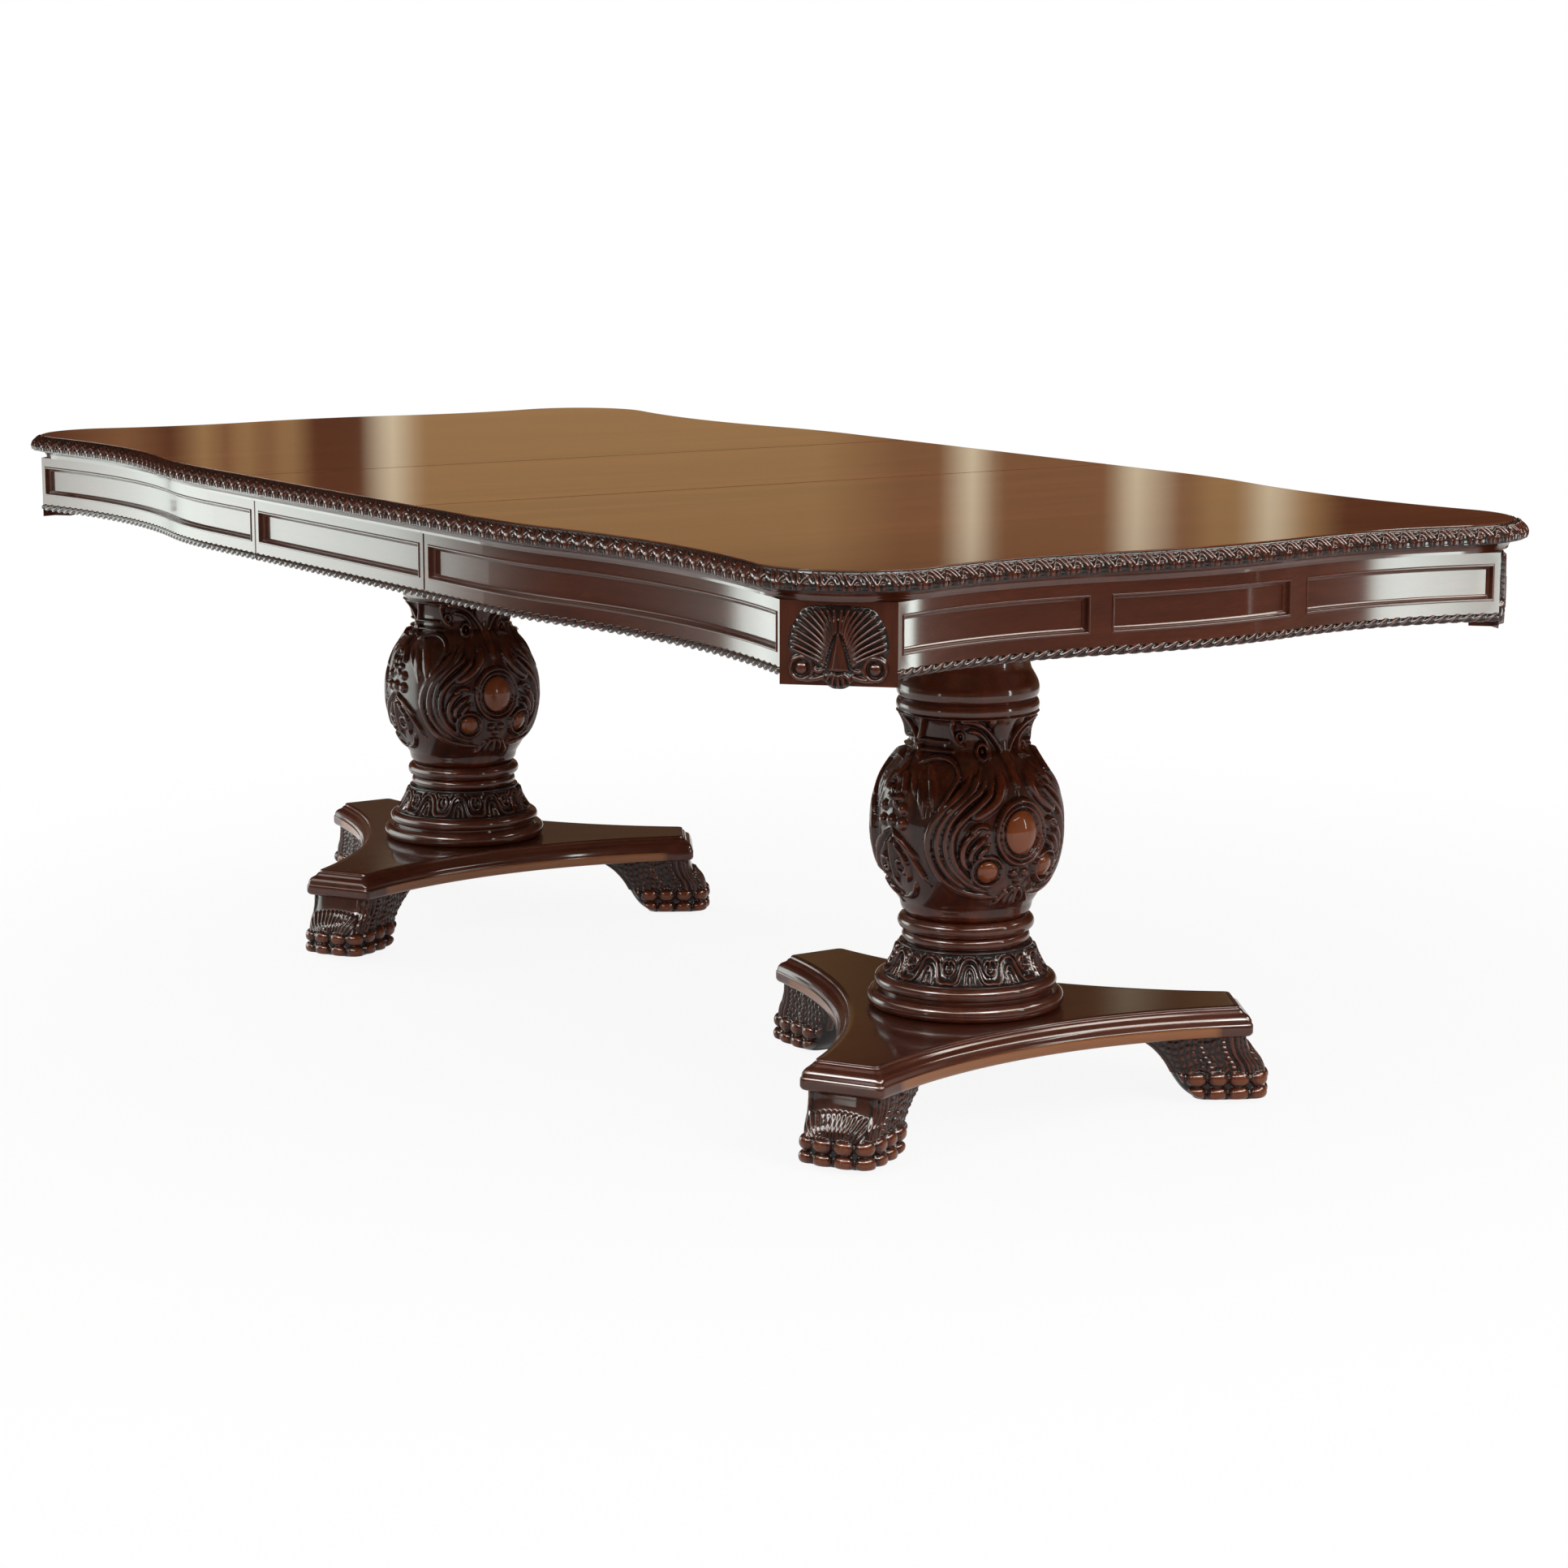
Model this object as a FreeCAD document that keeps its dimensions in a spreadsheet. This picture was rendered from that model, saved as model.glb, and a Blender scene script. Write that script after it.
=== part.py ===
"""Double pedestal dining table with a drop-in leaf, as a parametric document.

Frame: +X along the table, +Y across it, +Z up, origin on the floor under the middle of the top.
The two halves of the top part at the leaf; each stands on its own three-footed pedestal.
"""
import FreeCAD, Part
import Sketcher
import math
import os

V = FreeCAD.Vector
HALVES = (("left", -1), ("right", 1))
SIDES = (("front", -1), ("back", 1))

# Driving dimensions, in millimetres and degrees.
SIZES = {
    # top
    "top_height": 780,
    "top_thickness": 23,
    "leaf_width": 522,
    "seam_gap": 0.5,
    "seam_ease": 2,
    "glue_gap": 0.1,
    "overrun": 5,
    # plan of the apron's outer face
    "apron_half_width": 560,
    "apron_half_length": 1195,
    "block_setback": 10,
    "cant": 95,
    "side_dip": 42,
    "end_dip": 36,
    "end_bulge": 24,
    "corner_radius": 112,
    # edge, cove, apron and rope
    "panel_overhang": 9,
    "edge_overhang": 27,
    "edge_height": 22,
    "cove_overhang": 23,
    "cove_quirk": 3,
    "cove_height": 13,
    "apron_height": 76,
    "apron_thickness": 22,
    "panel_recess": 8,
    "panel_top_margin": 14,
    "panel_bottom_margin": 16,
    "seam_stile": 12,
    "block_stile": 8,
    "end_stile": 28,
    "rope_diameter": 11,
    "rope_setback": 3.2,
    # canted corner blocks and shells
    "block_drop": 10,
    "block_depth": 28,
    "shell_width": 112,
    "shell_height": 71,
    "shell_relief": 7,
    "shell_margin": 3,
    # slides
    "rail_inset": 300,
    "rail_width": 22,
    "rail_height": 45,
    "rail_outer_end": 850,
    "rail_inner_end": 180,
    "centre_rail_half_length": 450,
    "slide_clearance": 0.3,
    "tongue_depth": 6,
    "tongue_height": 12,
    "screw_radius": 2.5,
    "screw_head_radius": 5,
    "screw_head_height": 3.5,
    "screw_grip": 15,
    "screw_clearance": 0.1,
    "screw_first": 330,
    "screw_pitch": 230,
    # locating pins in the seam faces
    "pin_radius": 4,
    "pin_reach": 12,
    "pin_root": 20,
    "pin_spacing": 400,
    "pin_offset": 20,
    "pin_clearance": 0.3,
    # pedestal mounting
    "pedestal_offset": 700,
    "batten_offset": 120,
    "batten_width": 60,
    "batten_length": 560,
    "batten_height": 45,
    "plate_size": 320,
    "plate_thickness": 25,
    "bolt_radius": 5,
    "bolt_clearance": 0.2,
    "bolt_spread": 130,
    "bolt_grip": 34,
    "bolt_head_radius": 9,
    "bolt_head_height": 6.5,
    # tie rod
    "rod_radius": 6,
    "rod_bore_radius": 8,
    "rod_tail": 5,
    "nut_radius": 11,
    "nut_height": 10,
    "nut_clearance": 0.1,
    "washer_radius": 18,
    "washer_thickness": 3,
    # column
    "lower_torus_radius": 131,
    "lower_torus_height": 22,
    "torus_fillet_height": 3,
    "upper_torus_radius": 121,
    "upper_torus_height": 18,
    "band_foot_radius": 110,
    "band_head_radius": 89,
    "band_height": 42,
    "band_hollow_radius": 90,
    "lower_ring_radius": 85,
    "lower_ring_height": 17,
    "upper_ring_radius": 91,
    "upper_ring_height": 20,
    "vase_foot_radius": 78,
    "vase_belly_radius": 124,
    "vase_lower_curve": 166,
    "vase_shoulder_radius": 81,
    "vase_upper_curve": 145,
    "vase_neck_radius": 85,
    "vase_neck_curve": 90,
    "lip_radius": 93,
    "lip_height": 18,
    "drum_foot_radius": 89,
    "drum_head_radius": 80,
    # platform, feet and glides
    "platform_thickness": 38,
    "platform_edge": 16,
    "arm_reach": 358,
    "arm_tip_width": 86,
    "platform_waist": 155,
    "foot_height": 88,
    "foot_back": 238,
    "foot_front": 401,
    "foot_width": 112,
    "foot_back_curve": 52,
    "toe_radius": 15,
    "toe_spacing": 27.5,
    "foot_bolt_radius": 5,
    "foot_bolt_station": 320,
    "foot_bolt_grip": 30,
    "glide_radius": 20,
    "glide_height": 5,
    "glide_station": 345,
}

# Hand-chosen shares of the sizes that each outline follows.
SIDE_STRAIGHT_SHARE = 0.385
SIDE_HOLLOW_SHARE = 0.394
END_HOLLOW_SHARE = 0.449
BELLY_SHARE = 0.29
SHOULDER_SHARE = 0.25
NECK_SHARE = 0.105
DRUM_SHARE = 0.112
EDGE_NOSE_SHARES = ((0.00, 0.86), (0.09, 0.96), (0.32, 1.00), (0.55, 0.90), (0.77, 0.65), (1.00, 0.22))
PLATFORM_EDGE_SHARES = ((1.00, 0.00), (0.91, 0.00), (0.87, 0.19), (0.78, 0.31), (0.69, 0.69),
                        (0.56, 0.88), (0.44, 0.91), (0.40, 1.00), (0.12, 1.00), (0.03, 0.88), (0.00, 0.72))
FOOT_PROFILE_SHARES = {"waist": (0.22, 0.50), "heel": (0.40, 0.00), "instep": (0.92, 0.70),
                       "toe_top": (1.00, 0.42), "head": (0.82, 1.00)}
END_STILE_SHARE = 0.33
ROLL_SHARE = 0.505
SHELL_LOBE_SHARES = (0.62, 0.80, 0.90, 0.97, 1.00, 0.97, 0.90, 0.80, 0.62)
COVE_STEPS = 6
ROPE_STEPS = 9
ROPE_FLAT_ANGLE = 40
SHELL_FAN_ANGLE = 210
ARM_ANGLES = (-60, 60, 180)
TOES = 4
SCREWS_PER_RAIL = 3

# Sizes that follow from the driving dimensions, as formulas on the sheet.
FOLLOWING = {
    "block_half_width": "=apron_half_width - block_setback",
    "block_x": "=apron_half_length - cant",
    "side_straight": f"=block_x * {SIDE_STRAIGHT_SHARE}",
    "side_hollow_run": f"=(block_x - side_straight) * {SIDE_HOLLOW_SHARE}",
    "end_hollow_run": f"=(block_half_width - cant) * {END_HOLLOW_SHARE}",
    "platform_top": "=glide_height + foot_height + platform_thickness",
    "plate_bottom": "=top_height - top_thickness - batten_height - plate_thickness",
    "torus_height": "=lower_torus_height + torus_fillet_height + upper_torus_height",
    "collar_height": "=lower_ring_height + upper_ring_height",
    "rings_height": "=torus_height + band_height + collar_height + lip_height",
    "shaft_height": "=plate_bottom - platform_top - rings_height",
    "vase_belly_rise": f"=shaft_height * {BELLY_SHARE}",
    "vase_shoulder_rise": f"=shaft_height * {SHOULDER_SHARE}",
    "vase_neck_rise": f"=shaft_height * {NECK_SHARE}",
    "drum_height": f"=shaft_height * {DRUM_SHARE}",
}

doc = FreeCAD.newDocument("dining_table")
sheet = doc.addObject("Spreadsheet::Sheet", "sizes")
for row, (alias, value) in enumerate({**SIZES, **FOLLOWING}.items(), 1):
    sheet.set(f"A{row}", alias)
    sheet.set(f"B{row}", str(value))
    sheet.setAlias(f"B{row}", alias)
doc.recompute()
nodes = []


def size(alias):
    """One driving dimension, read back from the sheet."""
    return float(sheet.get(alias))


# Heights that follow from the driving dimensions, as expressions on the sheet.
PANEL_BOTTOM = "sizes.top_height - sizes.top_thickness"
RAIL_BOTTOM = f"{PANEL_BOTTOM} - sizes.rail_height"
BATTEN_BOTTOM = f"{PANEL_BOTTOM} - sizes.batten_height"
PLATE_BOTTOM = "sizes.plate_bottom"
FOOT_TOP = "sizes.glide_height + sizes.foot_height"
PLATFORM_TOP = "sizes.platform_top"


def number(expression):
    """The value of an expression on the sheet."""
    return float(sheet.evalExpression(expression))


def keep(node, label):
    """Name a finished sub-part and list it for export."""
    node.Label = label
    nodes.append(node)
    return node


def feature(name, shape):
    """A sub-part whose outline follows the serpentine plan or a carved form."""
    item = doc.addObject("Part::Feature", name)
    item.Shape = shape
    return item


def bind(item, bindings):
    """Tie properties of an object to expressions on the sheet."""
    for prop, expression in bindings.items():
        item.setExpression(prop, expression)
    return item


def place(item, x, y, z):
    """Tie an object's position to expressions on the sheet."""
    return bind(item, {"Placement.Base.x": x, "Placement.Base.y": y, "Placement.Base.z": z})


def box(name, spans, corner):
    """A block from its three spans and its lowest corner."""
    item = doc.addObject("Part::Box", name)
    bind(item, dict(zip(("Length", "Width", "Height"), spans)))
    return place(item, *corner)


def cylinder(name, radius, height, foot):
    """An upright cylinder from the centre of its foot."""
    item = doc.addObject("Part::Cylinder", name)
    bind(item, {"Radius": radius, "Height": height})
    return place(item, *foot)


def combine(kind, name, members):
    """A fusion or a group of loose solids."""
    item = doc.addObject(kind, name)
    if kind == "Part::Compound":
        item.Links = members
    else:
        item.Shapes = members
    return item


def cut(name, base, tools):
    """A piece with its holes and slots taken out."""
    item = doc.addObject("Part::Cut", name)
    item.Base = base
    item.Tool = combine("Part::Compound", f"{name}_tools", tools)
    return item


# Plan of the serpentine outline.
def plan_arcs():
    """Centres, radii and turn angles of the tangent arcs in the quarter where x and y are positive.

    The long side runs straight, turns in over a convex arc and out again over a concave arc to the
    corner block. The end does the same from its middle. A corner circle touches both concave arcs.
    """
    side_low = size("apron_half_width") - size("side_dip")
    side_flare = 2 * math.atan((size("block_half_width") - side_low) / size("side_hollow_run"))
    side_hollow = size("side_hollow_run") / math.sin(side_flare)
    side_x = size("block_x") - size("side_hollow_run")
    side_run = side_x - size("side_straight")
    side_turn = 2 * math.atan(size("side_dip") / side_run)
    side_round = side_run / math.sin(side_turn) - side_hollow
    end_low = size("apron_half_length") - size("end_dip")
    end_flare = 2 * math.atan(size("end_dip") / size("end_hollow_run"))
    end_hollow = size("end_hollow_run") / math.sin(end_flare)
    end_y = size("block_half_width") - size("cant") - size("end_hollow_run")
    end_turn = 2 * math.atan(size("end_bulge") / end_y)
    end_round = end_y / math.sin(end_turn) - end_hollow
    plan = {
        "side_round": (V(size("side_straight"), size("apron_half_width") - side_round), side_round),
        "side_hollow": (V(side_x, side_low + side_hollow), side_hollow),
        "end_hollow": (V(end_low + end_hollow, end_y), end_hollow),
        "end_round": (V(end_low + size("end_bulge") - end_round, 0), end_round),
        "side_turn": side_turn,
        "side_flare": side_flare,
        "end_turn": end_turn,
        "end_flare": end_flare,
    }
    plan["corner"] = (corner_centre(plan), size("corner_radius"))
    return plan


def corner_centre(plan):
    """Centre of the corner circle: as far from each concave centre as the two radii together."""
    first, first_radius = plan["side_hollow"]
    second, second_radius = plan["end_hollow"]
    first_reach = first_radius + size("corner_radius")
    second_reach = second_radius + size("corner_radius")
    link = second - first
    along = (link.Length**2 + first_reach**2 - second_reach**2) / (2 * link.Length)
    away = math.sqrt(first_reach**2 - along**2)
    link.normalize()
    return first + link * along + V(link.y, -link.x) * away


PLAN = plan_arcs()


def on_arc(name, offset, heading, outward):
    """A point of a plan arc, moved outwards by offset; heading is the unit way from its centre."""
    centre, radius = PLAN[name]
    return centre + heading * (radius + outward * offset)


def arc_run(name, offset, start, end, heading, outward):
    """Start, middle and end of a stretch of a plan arc between two turn angles."""
    return tuple(on_arc(name, offset, heading(angle), outward) for angle in (start, (start + end) / 2, end))


def side_up(angle):
    """Way from the centre of the long side's convex arc."""
    return V(math.sin(angle), math.cos(angle))


def side_down(angle):
    """Way from the centre of the long side's concave arc."""
    return V(math.sin(angle), -math.cos(angle))


def end_out(angle):
    """Way from the centre of the end's convex arc."""
    return V(math.cos(angle), math.sin(angle))


def end_in(angle):
    """Way from the centre of the end's concave arc."""
    return V(-math.cos(angle), math.sin(angle))


def side_path(offset, start_x, last_angle):
    """Long side from the seam to an angle on its concave arc."""
    turn = PLAN["side_turn"]
    level = size("apron_half_width") + offset
    return [
        (V(start_x, level), V(size("side_straight"), level)),
        arc_run("side_round", offset, 0, turn, side_up, 1),
        arc_run("side_hollow", offset, -turn, last_angle, side_down, -1),
    ]


def end_path(offset, first_angle):
    """End from an angle on its concave arc to its middle."""
    turn = PLAN["end_turn"]
    return [
        arc_run("end_hollow", offset, first_angle, -turn, end_in, -1),
        arc_run("end_round", offset, turn, 0, end_out, 1),
    ]


def rounded_path(offset, start_x):
    """Quarter of the top's edge, from the seam round the corner to the middle of the end."""
    corner = PLAN["corner"][0]
    to_side = PLAN["side_hollow"][0] - corner
    to_end = PLAN["end_hollow"][0] - corner
    side_angle = math.atan2(-to_side.x, to_side.y)
    end_angle = math.atan2(-to_end.y, to_end.x)
    start = math.atan2(to_side.y, to_side.x)
    stop = math.atan2(to_end.y, to_end.x)
    bend = arc_run("corner", offset, start, stop, end_out, 1)
    return side_path(offset, start_x, side_angle) + [bend] + end_path(offset, end_angle)


def mirrored(path, x_sign, y_sign):
    """A path flipped across the table's middle planes."""
    return [tuple(V(point.x * x_sign, point.y * y_sign) for point in run) for run in path]


def reversed_path(path):
    """A path walked the other way."""
    return [tuple(reversed(run)) for run in reversed(path)]


def half_turned(path, x_sign):
    """A quarter path carried on to the other side of the table."""
    return mirrored(path, x_sign, -1) + reversed_path(mirrored(path, x_sign, 1))


def edge_of(run, z):
    """One line or arc of a path at a height."""
    points = [V(point.x, point.y, z) for point in run]
    if len(points) == 2:
        return Part.makeLine(*points)
    return Part.Arc(*points).toShape()


def closed_wire(path, z):
    """A closed wire from a path, with a straight line wherever its runs don't meet."""
    edges = []
    for index, run in enumerate(path):
        edges.append(edge_of(run, z))
        gap = (run[-1], path[(index + 1) % len(path)][0])
        if (gap[1] - gap[0]).Length > size("glue_gap") / 2:
            edges.append(edge_of(gap, z))
    return Part.Wire(edges)


def slab(path, bottom, top):
    """A flat piece with a path as its outline."""
    face = Part.Face(closed_wire(path, bottom))
    return face.extrude(V(0, 0, top - bottom))


def strip(path_at, levels):
    """A moulding along a path: each level is a height with its inner and outer offset."""
    wires = [closed_wire(path_at(outer) + reversed_path(path_at(inner)), z) for z, inner, outer in levels]
    return Part.makeLoft(wires, True, True)


# Sections of the mouldings, as levels of height, inner offset and outer offset.
def edge_levels():
    """Rounded nose of the carved edge."""
    bottom = number(PANEL_BOTTOM)
    root = size("panel_overhang")
    reach = size("edge_overhang") - root
    rise = size("edge_height")
    inner = root + size("glue_gap")
    return [(bottom + high * rise, inner, root + out * reach) for high, out in EDGE_NOSE_SHARES]


def cove_levels():
    """Hollow quarter round under the edge."""
    bottom = number(PANEL_BOTTOM) - size("cove_height")
    reach = size("cove_overhang") - size("cove_quirk")
    levels = []
    for step in range(COVE_STEPS + 1):
        angle = math.pi / 2 * step / COVE_STEPS
        outer = size("cove_overhang") - reach * math.cos(angle)
        levels.append((bottom + size("cove_height") * math.sin(angle), -size("apron_thickness"), outer))
    return levels


def apron_span():
    """Bottom and top of the aprons."""
    top = number(PANEL_BOTTOM) - size("cove_height")
    return top - size("apron_height"), top


def rope_levels():
    """Round bead, flat on top where it meets the apron."""
    radius = size("rope_diameter") / 2
    flat = math.radians(ROPE_FLAT_ANGLE)
    centre_z = apron_span()[0] - radius * math.sin(flat)
    lowest = -math.pi / 2 + flat / ROPE_STEPS
    levels = []
    for step in range(ROPE_STEPS + 1):
        angle = lowest + (flat - lowest) * step / ROPE_STEPS
        half = radius * math.cos(angle)
        middle = -size("rope_setback")
        levels.append((centre_z + radius * math.sin(angle), middle - half, middle + half))
    return levels


def apron_levels():
    """Plain board of the apron."""
    bottom, top = apron_span()
    return [(z, -size("apron_thickness"), 0) for z in (bottom, top)]


def recess_levels():
    """Space that the sunk panel leaves in front of it."""
    bottom, top = apron_span()
    heights = (bottom + size("panel_bottom_margin"), top - size("panel_top_margin"))
    return [(z, -size("panel_recess"), size("overrun")) for z in heights]


def half_seam():
    """Distance from the middle of the table to a half's seam face."""
    return size("leaf_width") / 2 + size("seam_gap") / 2


def leaf_edge():
    """Distance from the middle of the table to the leaf's seam face."""
    return size("leaf_width") / 2 - size("seam_gap") / 2


def upright_ease(x, y):
    """Diamond that takes a small chamfer off an apron's outer edge at a seam."""
    bottom, top = apron_span()
    side = size("seam_ease") * math.sqrt(2)
    length = top - bottom + 2 * size("overrun")
    tool = Part.makeBox(side, side, length, V(-side / 2, -side / 2, bottom - size("overrun")))
    tool.rotate(V(0, 0, 0), V(0, 0, 1), 45)
    tool.translate(V(x, y, 0))
    return tool


def level_ease(x):
    """Diamond that takes a small chamfer off a panel's upper edge at a seam."""
    side = size("seam_ease") * math.sqrt(2)
    reach = size("apron_half_width") + size("panel_overhang") + size("overrun")
    tool = Part.makeBox(side, 2 * reach, side, V(-side / 2, -reach, -side / 2))
    tool.rotate(V(0, 0, 0), V(0, 1, 0), 45)
    tool.translate(V(x, 0, size("top_height")))
    return tool


# Halves of the top.
def pin_stations(x_sign):
    """Places across the table of one half's locating pins."""
    middle = size("pin_offset") * x_sign
    return [middle + size("pin_spacing") * step for step in (-1, 0, 1)]


def pin_height():
    """Height of the pins: the middle of the panel."""
    return size("top_height") - size("top_thickness") / 2


def pin_hole(y, x_face, x_sign):
    """Round socket in a seam face for a pin's root."""
    foot = V(x_face - x_sign * size("overrun"), y, pin_height())
    return Part.makeCylinder(size("pin_radius"), size("pin_root") + size("overrun"), foot, V(x_sign, 0, 0))


def pin_slot(y, x_face, x_sign):
    """Slot open at the bottom, so that the pinned piece can be lifted off."""
    half = size("pin_radius") + size("pin_clearance")
    depth = size("pin_reach") + size("pin_clearance") + size("overrun")
    low = number(PANEL_BOTTOM) - size("overrun")
    start = x_face - x_sign * size("overrun")
    corner = V(min(start, start + x_sign * depth), y - half, low)
    return Part.makeBox(depth, 2 * half, pin_height() + half - low, corner)


def locating_pins(label, x_sign):
    """Steel pins that line the seam up; half of each is let into the panel."""
    start = x_sign * (half_seam() + size("pin_root"))
    span = size("pin_root") + size("pin_reach")
    pins = [Part.makeCylinder(size("pin_radius"), span, V(start, y, pin_height()), V(-x_sign, 0, 0))
            for y in pin_stations(x_sign)]
    keep(feature(f"{label}_locating_pins", Part.makeCompound(pins)), f"{label}_locating_pins")


def screw_places(x_sign, y):
    """Plan positions of one rail's screws, as expressions."""
    return [(f"{x_sign} * (sizes.screw_first + {step} * sizes.screw_pitch)", y)
            for step in range(SCREWS_PER_RAIL)]


def rail_y(row, y_sign):
    """Lower side of a rail in the row of three, counted from the middle of the table."""
    start = f"sizes.rail_inset + {row} * (sizes.rail_width + sizes.slide_clearance)"
    return start if y_sign > 0 else f"-1 * ({start}) - sizes.rail_width"


def rail_middle(row, y_sign):
    """Centre line of a rail in the row of three."""
    return (f"{y_sign} * (sizes.rail_inset + {row} * (sizes.rail_width + sizes.slide_clearance)"
            " + sizes.rail_width / 2)")


def rail_row(x_sign):
    """The left half's rails run inside the centre rails and the right half's outside them."""
    return 0 if x_sign < 0 else 2


def screw_holes(label, x_sign, part, foot, height):
    """Holes for the rail screws through one piece."""
    holes = []
    for side, y_sign in SIDES:
        places = screw_places(x_sign, rail_middle(rail_row(x_sign), y_sign))
        for step, (x, y) in enumerate(places):
            radius = "sizes.screw_radius + sizes.screw_clearance"
            holes.append(cylinder(f"{label}_{part}_{side}_hole_{step}", radius, height, (x, y, foot)))
    return holes


def top_panel(label, x_sign):
    """Veneered half top, with sockets for its pins, slots for the other half's, and screw pilots."""
    path = half_turned(rounded_path(size("panel_overhang"), half_seam()), x_sign)
    blank = slab(path, number(PANEL_BOTTOM), size("top_height"))
    seam = x_sign * half_seam()
    sockets = [pin_hole(y, seam, x_sign) for y in pin_stations(x_sign)]
    slots = [pin_slot(y, seam, x_sign) for y in pin_stations(-x_sign)]
    base = feature(f"{label}_top_blank", blank.cut(sockets + slots + [level_ease(seam)]))
    holes = screw_holes(label, x_sign, "top", f"{PANEL_BOTTOM} - sizes.overrun",
                        "sizes.screw_grip + sizes.screw_clearance + sizes.overrun")
    keep(cut(f"{label}_top_panel", base, holes), f"{label}_top_panel")


def edge_mouldings(label, x_sign):
    """Carved edge and the cove under it, each carried round the half in one length."""
    def path_at(offset):
        return half_turned(rounded_path(offset, half_seam()), x_sign)
    for name, levels in (("edge_moulding", edge_levels()), ("cove_moulding", cove_levels())):
        keep(feature(f"{label}_{name}", strip(path_at, levels)), f"{label}_{name}")


def long_apron(label, x_sign, side, y_sign):
    """Apron of a long side, from the seam to the corner block, with its panel sunk."""
    flare = PLAN["side_flare"]
    trim = size("block_stile") / PLAN["side_hollow"][1]

    def path_at(offset):
        return mirrored(side_path(offset, half_seam(), flare), x_sign, y_sign)

    def recess_at(offset):
        return mirrored(side_path(offset, half_seam() + size("seam_stile"), flare - trim), x_sign, y_sign)
    ease = upright_ease(x_sign * half_seam(), y_sign * size("apron_half_width"))
    board = strip(path_at, apron_levels()).cut([strip(recess_at, recess_levels()), ease])
    keep(feature(f"{label}_{side}_apron", board), f"{label}_{side}_apron")
    return strip(path_at, rope_levels())


def end_apron(label, x_sign):
    """Bowed apron of the short end, with three sunk panels parted by stiles."""
    flare = PLAN["end_flare"]
    trim = size("block_stile") / PLAN["end_hollow"][1]

    def path_at(offset):
        return half_turned(end_path(offset, flare), x_sign)

    def recess_at(offset):
        return half_turned(end_path(offset, flare - trim), x_sign)
    recess = strip(recess_at, recess_levels())
    span = size("block_half_width") - size("cant")
    bounds = recess.BoundBox
    bounds.enlarge(size("overrun"))
    for y_sign in (-1, 1):
        low = y_sign * END_STILE_SHARE * span - size("end_stile") / 2
        stile = Part.makeBox(bounds.XLength, size("end_stile"), bounds.ZLength,
                             V(bounds.XMin, low, bounds.ZMin))
        recess = recess.cut(stile)
    board = strip(path_at, apron_levels()).cut(recess)
    keep(feature(f"{label}_end_apron", board), f"{label}_end_apron")
    return strip(path_at, rope_levels())


def block_outline(x_sign, y_sign):
    """Plan of a corner block: flush with the ends of both aprons and cut flat across the corner."""
    inner = -size("apron_thickness")
    side, side_in = (side_path(at, half_seam(), PLAN["side_flare"])[-1][-1] for at in (0, inner))
    end, end_in_ = (end_path(at, PLAN["end_flare"])[0][0] for at in (0, inner))
    back = V(-1, -1).normalize() * size("block_depth")
    corners = [side, end, end_in_, end_in_ + back, side_in + back, side_in]
    runs = list(zip(corners, corners[1:] + corners[:1]))
    return mirrored(runs, x_sign, y_sign)


def block_span():
    """Bottom and top of the corner blocks."""
    bottom, top = apron_span()
    drop = size("rope_diameter") / 2 * (1 + math.sin(math.radians(ROPE_FLAT_ANGLE))) + size("block_drop")
    return bottom - drop, top


def corner_blocks(label, x_sign):
    """Canted blocks at the two corners of a half."""
    blocks = [slab(block_outline(x_sign, y_sign), *block_span()) for _, y_sign in SIDES]
    keep(feature(f"{label}_corner_blocks", Part.makeCompound(blocks)), f"{label}_corner_blocks")


def shell_blank():
    """Scallop shell facing -Y, its hinge at the origin: lobes round a fan, closed across the bottom."""
    last = len(SHELL_LOBE_SHARES) - 1
    points = []
    for index, share in enumerate(SHELL_LOBE_SHARES):
        angle = math.radians(SHELL_FAN_ANGLE * (index / last - 0.5))
        across = size("shell_width") / 2 * math.sin(angle)
        up = size("shell_height") * share * math.cos(angle)
        points.append(V(across, 0, up))
    edges = []
    for start, stop in zip(points, points[1:]):
        chord = stop - start
        bulge = V(-chord.z, 0, chord.x) * (1 / len(points))
        edges.append(Part.Arc(start, (start + stop) * 0.5 + bulge, stop).toShape())
    edges.append(Part.makeLine(points[-1], points[0]))
    return Part.Face(Part.Wire(edges)).extrude(V(0, -size("shell_relief"), 0))


def shell_carvings(label, x_sign):
    """Shells glued to the canted faces of the corner blocks."""
    shells = []
    for _, y_sign in SIDES:
        face = block_outline(x_sign, y_sign)[0]
        middle = (face[0] + face[1]) * 0.5
        shell = shell_blank()
        foot = block_span()[0] + size("shell_margin") - shell.BoundBox.ZMin
        turn = math.degrees(math.atan2(y_sign, x_sign)) + 90
        shell.Placement = FreeCAD.Placement(V(middle.x, middle.y, foot), FreeCAD.Rotation(V(0, 0, 1), turn))
        shells.append(shell)
    keep(feature(f"{label}_shell_carvings", Part.makeCompound(shells)), f"{label}_shell_carvings")


# Slides.
def rail_groove(name, x_sign, y_sign, start_x, length):
    """Groove in a half's rail, on the side that faces the centre rail."""
    row = rail_row(x_sign)
    depth = "sizes.tongue_depth + sizes.slide_clearance"
    faces_out = (row == 0) == (y_sign > 0)
    low = rail_y(row, y_sign)
    y = f"{low} + sizes.rail_width - ({depth})" if faces_out else f"{low} - sizes.overrun"
    height = "sizes.tongue_height + 2 * sizes.slide_clearance"
    z = f"{RAIL_BOTTOM} + (sizes.rail_height - ({height})) / 2"
    spans = (f"{length} + 2 * sizes.overrun", f"{depth} + sizes.overrun", height)
    return box(name, spans, (f"{start_x} - sizes.overrun", y, z))


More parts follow.
